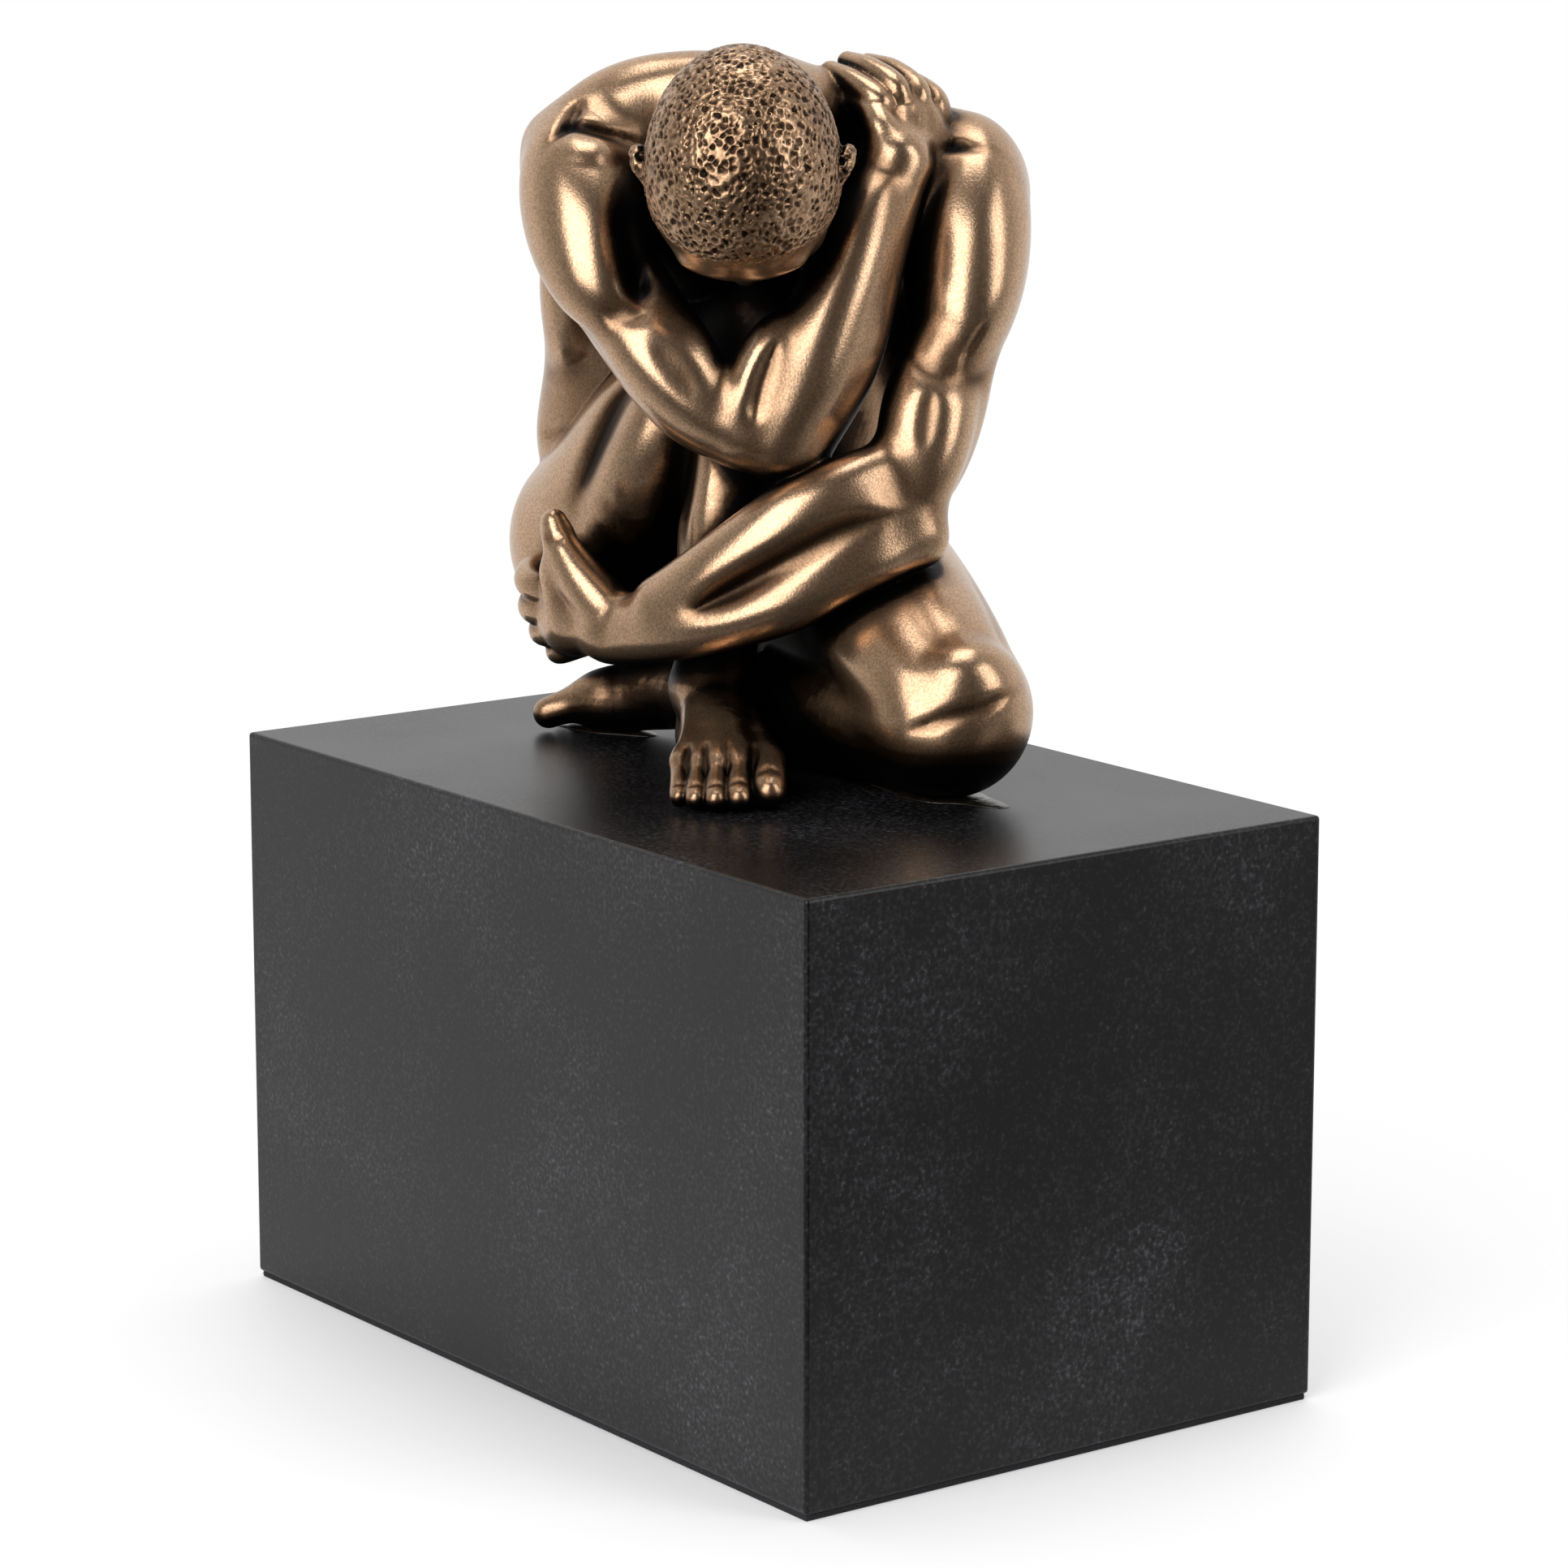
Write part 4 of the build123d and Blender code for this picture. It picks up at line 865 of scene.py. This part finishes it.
def addFringe(piece, settings):  # loose fibres round the edge of the felt
    tree = bpy.data.node_groups.new("feltFringe", "GeometryNodeTree")
    tree.interface.new_socket("Geometry", in_out="INPUT", socket_type="NodeSocketGeometry")
    kinds = {int: "NodeSocketInt", float: "NodeSocketFloat"}
    for key, value in settings.items():
        tree.interface.new_socket(key, in_out="INPUT",
                                  socket_type=kinds.get(type(value), "NodeSocketMaterial"))
    tree.interface.new_socket("Geometry", in_out="OUTPUT", socket_type="NodeSocketGeometry")
    given = addNode(tree, "NodeGroupInput").outputs
    edge = addNode(tree, "GeometryNodeCurvePrimitiveQuadrilateral",
                   {"Width": given["Width"], "Height": given["Depth"]}).outputs[0]
    height = addNode(tree, "ShaderNodeCombineXYZ", {"Z": given["Height"]}).outputs[0]
    raised = addNode(tree, "GeometryNodeTransform", {"Geometry": edge, "Translation": height}).outputs[0]
    path = addNode(tree, "GeometryNodeResampleCurve", {"Curve": raised, "Count": given["Count"]}).outputs[0]
    fibre = addNode(tree, "GeometryNodeMeshCone",
                    {"Vertices": 3, "Radius Top": 0.0, "Radius Bottom": given["Girth"],
                     "Depth": given["Length"]}).outputs["Mesh"]
    place = addNode(tree, "GeometryNodeInputPosition").outputs[0]
    outward = addNode(tree, "ShaderNodeVectorMath", {0: place, 1: fibres["outward"]},
                      operation="MULTIPLY").outputs[0]
    least = tuple(-s for s in fibres["stray"])
    stray = addNode(tree, "FunctionNodeRandomValue", {0: least, 1: fibres["stray"], "Seed": given["Seed"]},
                    data_type="FLOAT_VECTOR").outputs[0]
    way = addNode(tree, "ShaderNodeVectorMath", {0: outward, 1: stray}, operation="ADD").outputs[0]
    lean = addNode(tree, "FunctionNodeAlignRotationToVector", {"Vector": way}, axis="Z").outputs[0]
    size = addNode(tree, "FunctionNodeRandomValue", {2: fibres["shortest"], 3: 1.0, "Seed": given["Seed"]},
                   data_type="FLOAT").outputs[1]
    spread = addNode(tree, "GeometryNodeInstanceOnPoints",
                     {"Points": path, "Instance": fibre, "Rotation": lean, "Scale": size}).outputs[0]
    whole = addNode(tree, "GeometryNodeJoinGeometry", {0: spread})
    tree.links.new(given["Geometry"], whole.inputs[0])
    solid = addNode(tree, "GeometryNodeRealizeInstances", {0: whole.outputs[0]}).outputs[0]
    dyed = addNode(tree, "GeometryNodeSetMaterial",
                   {"Geometry": solid, "Material": given["Material"]}).outputs[0]
    addNode(tree, "NodeGroupOutput", {"Geometry": dyed})
    modifier = piece.modifiers.new("feltFringe", "NODES")
    modifier.node_group = tree
    for item in tree.interface.items_tree:
        if item.in_out == "INPUT" and item.name in settings:
            modifier[item.identifier] = settings[item.name]
    seen = piece.evaluated_get(bpy.context.evaluated_depsgraph_get())
    mesh = bpy.data.meshes.new_from_object(seen)
    piece.modifiers.clear()
    piece.data = mesh


addFringe(feltPad, fringe)


# Adhesive that was squeezed out, with an uneven edge
ripple = {"waves": 4, "first": 2, "height": 0.06, "circle": 6.28}
beads = {
    "rightFootBead": {"node": "right_foot_adhesive", "centre": (-7, -9), "size": (24, 9, 0.4), "turn": -92},
    "leftKneeBead": {"node": "left_knee_adhesive", "centre": (25, -14), "size": (30, 12, 0.4), "turn": -52},
    "leftFootBead": {"node": "left_foot_adhesive", "centre": (-25, 34), "size": (17, 7, 0.4), "turn": 150},
}


def addBead(name, bead):
    mesh = bpy.data.meshes.new(name + "Skin")
    tool = bmesh.new()
    bmesh.ops.create_uvsphere(tool, u_segments=64, v_segments=12, radius=1)
    phases = np.random.default_rng(len(name)).uniform(0, ripple["circle"], ripple["waves"])
    length, width, height = bead["size"]
    c, s = math.cos(math.radians(bead["turn"])), math.sin(math.radians(bead["turn"]))
    for vertex in tool.verts:
        angle = math.atan2(vertex.co.y, vertex.co.x)
        waves = [math.sin(angle * (i + ripple["first"]) + phase) for i, phase in enumerate(phases)]
        wave = 1 + ripple["height"] * sum(waves)
        u, v = vertex.co.x * length / 2 * wave, vertex.co.y * width / 2 * wave
        w = max(vertex.co.z, 0) * height
        place = (bead["centre"][0] + u * c - v * s, bead["centre"][1] + u * s + v * c, w)
        vertex.co = Vector(toShared(np.array([place]))[0])
    tool.to_mesh(mesh)
    tool.free()
    mesh.polygons.foreach_set("use_smooth", [True] * len(mesh.polygons))
    newPiece(name, mesh, epoxy, bead["node"])


for name, bead in beads.items():
    addBead(name, bead)
print("stage: plinth, felt and adhesive made")

# Studio
scene = bpy.context.scene
table = {"reach": 3, "colour": "f6f6f6", "rough": 0.6, "fadeFrom": 0.02, "fadeTo": 0.19}  # metres
floorMesh = bpy.data.meshes.new("floorSkin")
floorCorners = [(x * table["reach"], y * table["reach"], 0) for x, y in ((-1, -1), (1, -1), (1, 1), (-1, 1))]
floorMesh.from_pydata(floorCorners, [], [(0, 1, 2, 3)])
floor = bpy.data.objects.new("floor", floorMesh)
scene.collection.objects.link(floor)


def tableMaterial():  # white table that fades into the white backdrop
    material, tree, shader = newMaterial("whiteTable")
    shader.inputs["Base Color"].default_value = colour(table["colour"])
    shader.inputs["Roughness"].default_value = table["rough"]
    place = addNode(tree, "ShaderNodeTexCoord").outputs["Object"]
    far = addNode(tree, "ShaderNodeVectorMath", {0: place}, operation="LENGTH").outputs["Value"]
    reach = {"From Min": table["fadeFrom"], "From Max": table["fadeTo"]}
    fade = addNode(tree, "ShaderNodeMapRange", {"Value": far, **reach},
                   interpolation_type="SMOOTHSTEP").outputs["Result"]
    clear = addNode(tree, "ShaderNodeBsdfTransparent")
    mixed = addNode(tree, "ShaderNodeMixShader",
                    {0: fade, 1: shader.outputs["BSDF"], 2: clear.outputs["BSDF"]})
    tree.links.new(mixed.outputs[0], tree.nodes["Material Output"].inputs["Surface"])
    return material


floorMesh.materials.append(tableMaterial())

camera = {"azimuth": 53.693, "elevation": 11.598, "distance": 0.83214, "lens": 123.99, "right": 0.0030626,
          "up": -0.0018315}
azimuth, elevation = math.radians(camera["azimuth"]), math.radians(camera["elevation"])
back = Vector((math.sin(azimuth) * math.cos(elevation), -math.cos(azimuth) * math.cos(elevation),
               math.sin(elevation)))
right = Vector((math.cos(azimuth), math.sin(azimuth), 0))
up = back.cross(right)
aim = Vector((0, 0, figure["base"] / 1000)) + right * camera["right"] + up * camera["up"]
lensData = bpy.data.cameras.new("camera")
lensData.lens = camera["lens"]
lensData.sensor_width = 36
lensData.clip_start, lensData.clip_end = 0.05, 20
eye = bpy.data.objects.new("camera", lensData)
scene.collection.objects.link(eye)
eye.location = aim + back * camera["distance"]
eye.rotation_mode = "QUATERNION"
eye.rotation_quaternion = (-back).to_track_quat("-Z", "Y")
scene.camera = eye

middle = Vector((0, 0, 0.13))
lamps = {  # place from the middle of the object, size in metres, watts
    "softboxLeft": {"right": -0.5, "back": 0.8, "up": 0.24, "size": (0.76, 1.2), "power": 13},
    "softboxRight": {"right": 0.8, "back": 0.42, "up": 0.36, "size": (0.4, 0.9), "power": 3.6},
    "softboxTop": {"right": 0, "back": -0.1, "up": 0.9, "size": (0.5, 0.5), "power": 3},
}


def addSoftbox(name, lamp):
    data = bpy.data.lights.new(name, "AREA")
    data.shape = "RECTANGLE"
    data.size, data.size_y = lamp["size"]
    data.energy = lamp["power"]
    box = bpy.data.objects.new(name, data)
    scene.collection.objects.link(box)
    box.location = middle + right * lamp["right"] + back * lamp["back"] + Vector((0, 0, lamp["up"]))
    box.rotation_mode = "QUATERNION"
    box.rotation_quaternion = (box.location - middle).to_track_quat("Z", "Y")


for name, lamp in lamps.items():
    addSoftbox(name, lamp)

# White behind the object, for the camera and for what mirrors it; dimmer light from the camera's side
backdropLook = {"mirror": {"From Min": 0.1, "From Max": 0.6},
                "light": {"From Min": -0.6, "From Max": 0.5, "To Min": 0.04, "To Max": 0.98}}
world = bpy.data.worlds.new("studio")
scene.world = world
world.use_nodes = True
tree = world.node_tree
tree.nodes.clear()
rays = addNode(tree, "ShaderNodeLightPath")
ways = addNode(tree, "ShaderNodeTexCoord").outputs["Generated"]
lean = addNode(tree, "ShaderNodeVectorMath", {0: ways, 1: tuple(-back)}, operation="DOT_PRODUCT")
backdrop = addNode(tree, "ShaderNodeMapRange", {"Value": lean.outputs["Value"], **backdropLook["mirror"]})
mirrored = addNode(tree, "ShaderNodeMath", {0: rays.outputs["Is Glossy Ray"], 1: backdrop.outputs["Result"]},
                   operation="MULTIPLY")
seen = addNode(tree, "ShaderNodeMath", {0: rays.outputs["Is Camera Ray"],
                                        1: rays.outputs["Is Transmission Ray"]}, operation="MAXIMUM")
shown = addNode(tree, "ShaderNodeMath", {0: seen.outputs[0], 1: mirrored.outputs[0]}, operation="MAXIMUM")
shade = addNode(tree, "ShaderNodeMapRange", {"Value": lean.outputs["Value"], **backdropLook["light"]})
light = addNode(tree, "ShaderNodeBackground",
                {"Color": colour("ffffff"), "Strength": shade.outputs["Result"]})
white = addNode(tree, "ShaderNodeBackground", {"Color": colour("ffffff"), "Strength": 1.0})
blendNode = addNode(tree, "ShaderNodeMixShader",
                    {0: shown.outputs[0], 1: light.outputs[0], 2: white.outputs[0]})
addNode(tree, "ShaderNodeOutputWorld", {"Surface": blendNode.outputs[0]})
scene.view_settings.view_transform = "Standard"
print("stage: studio made")
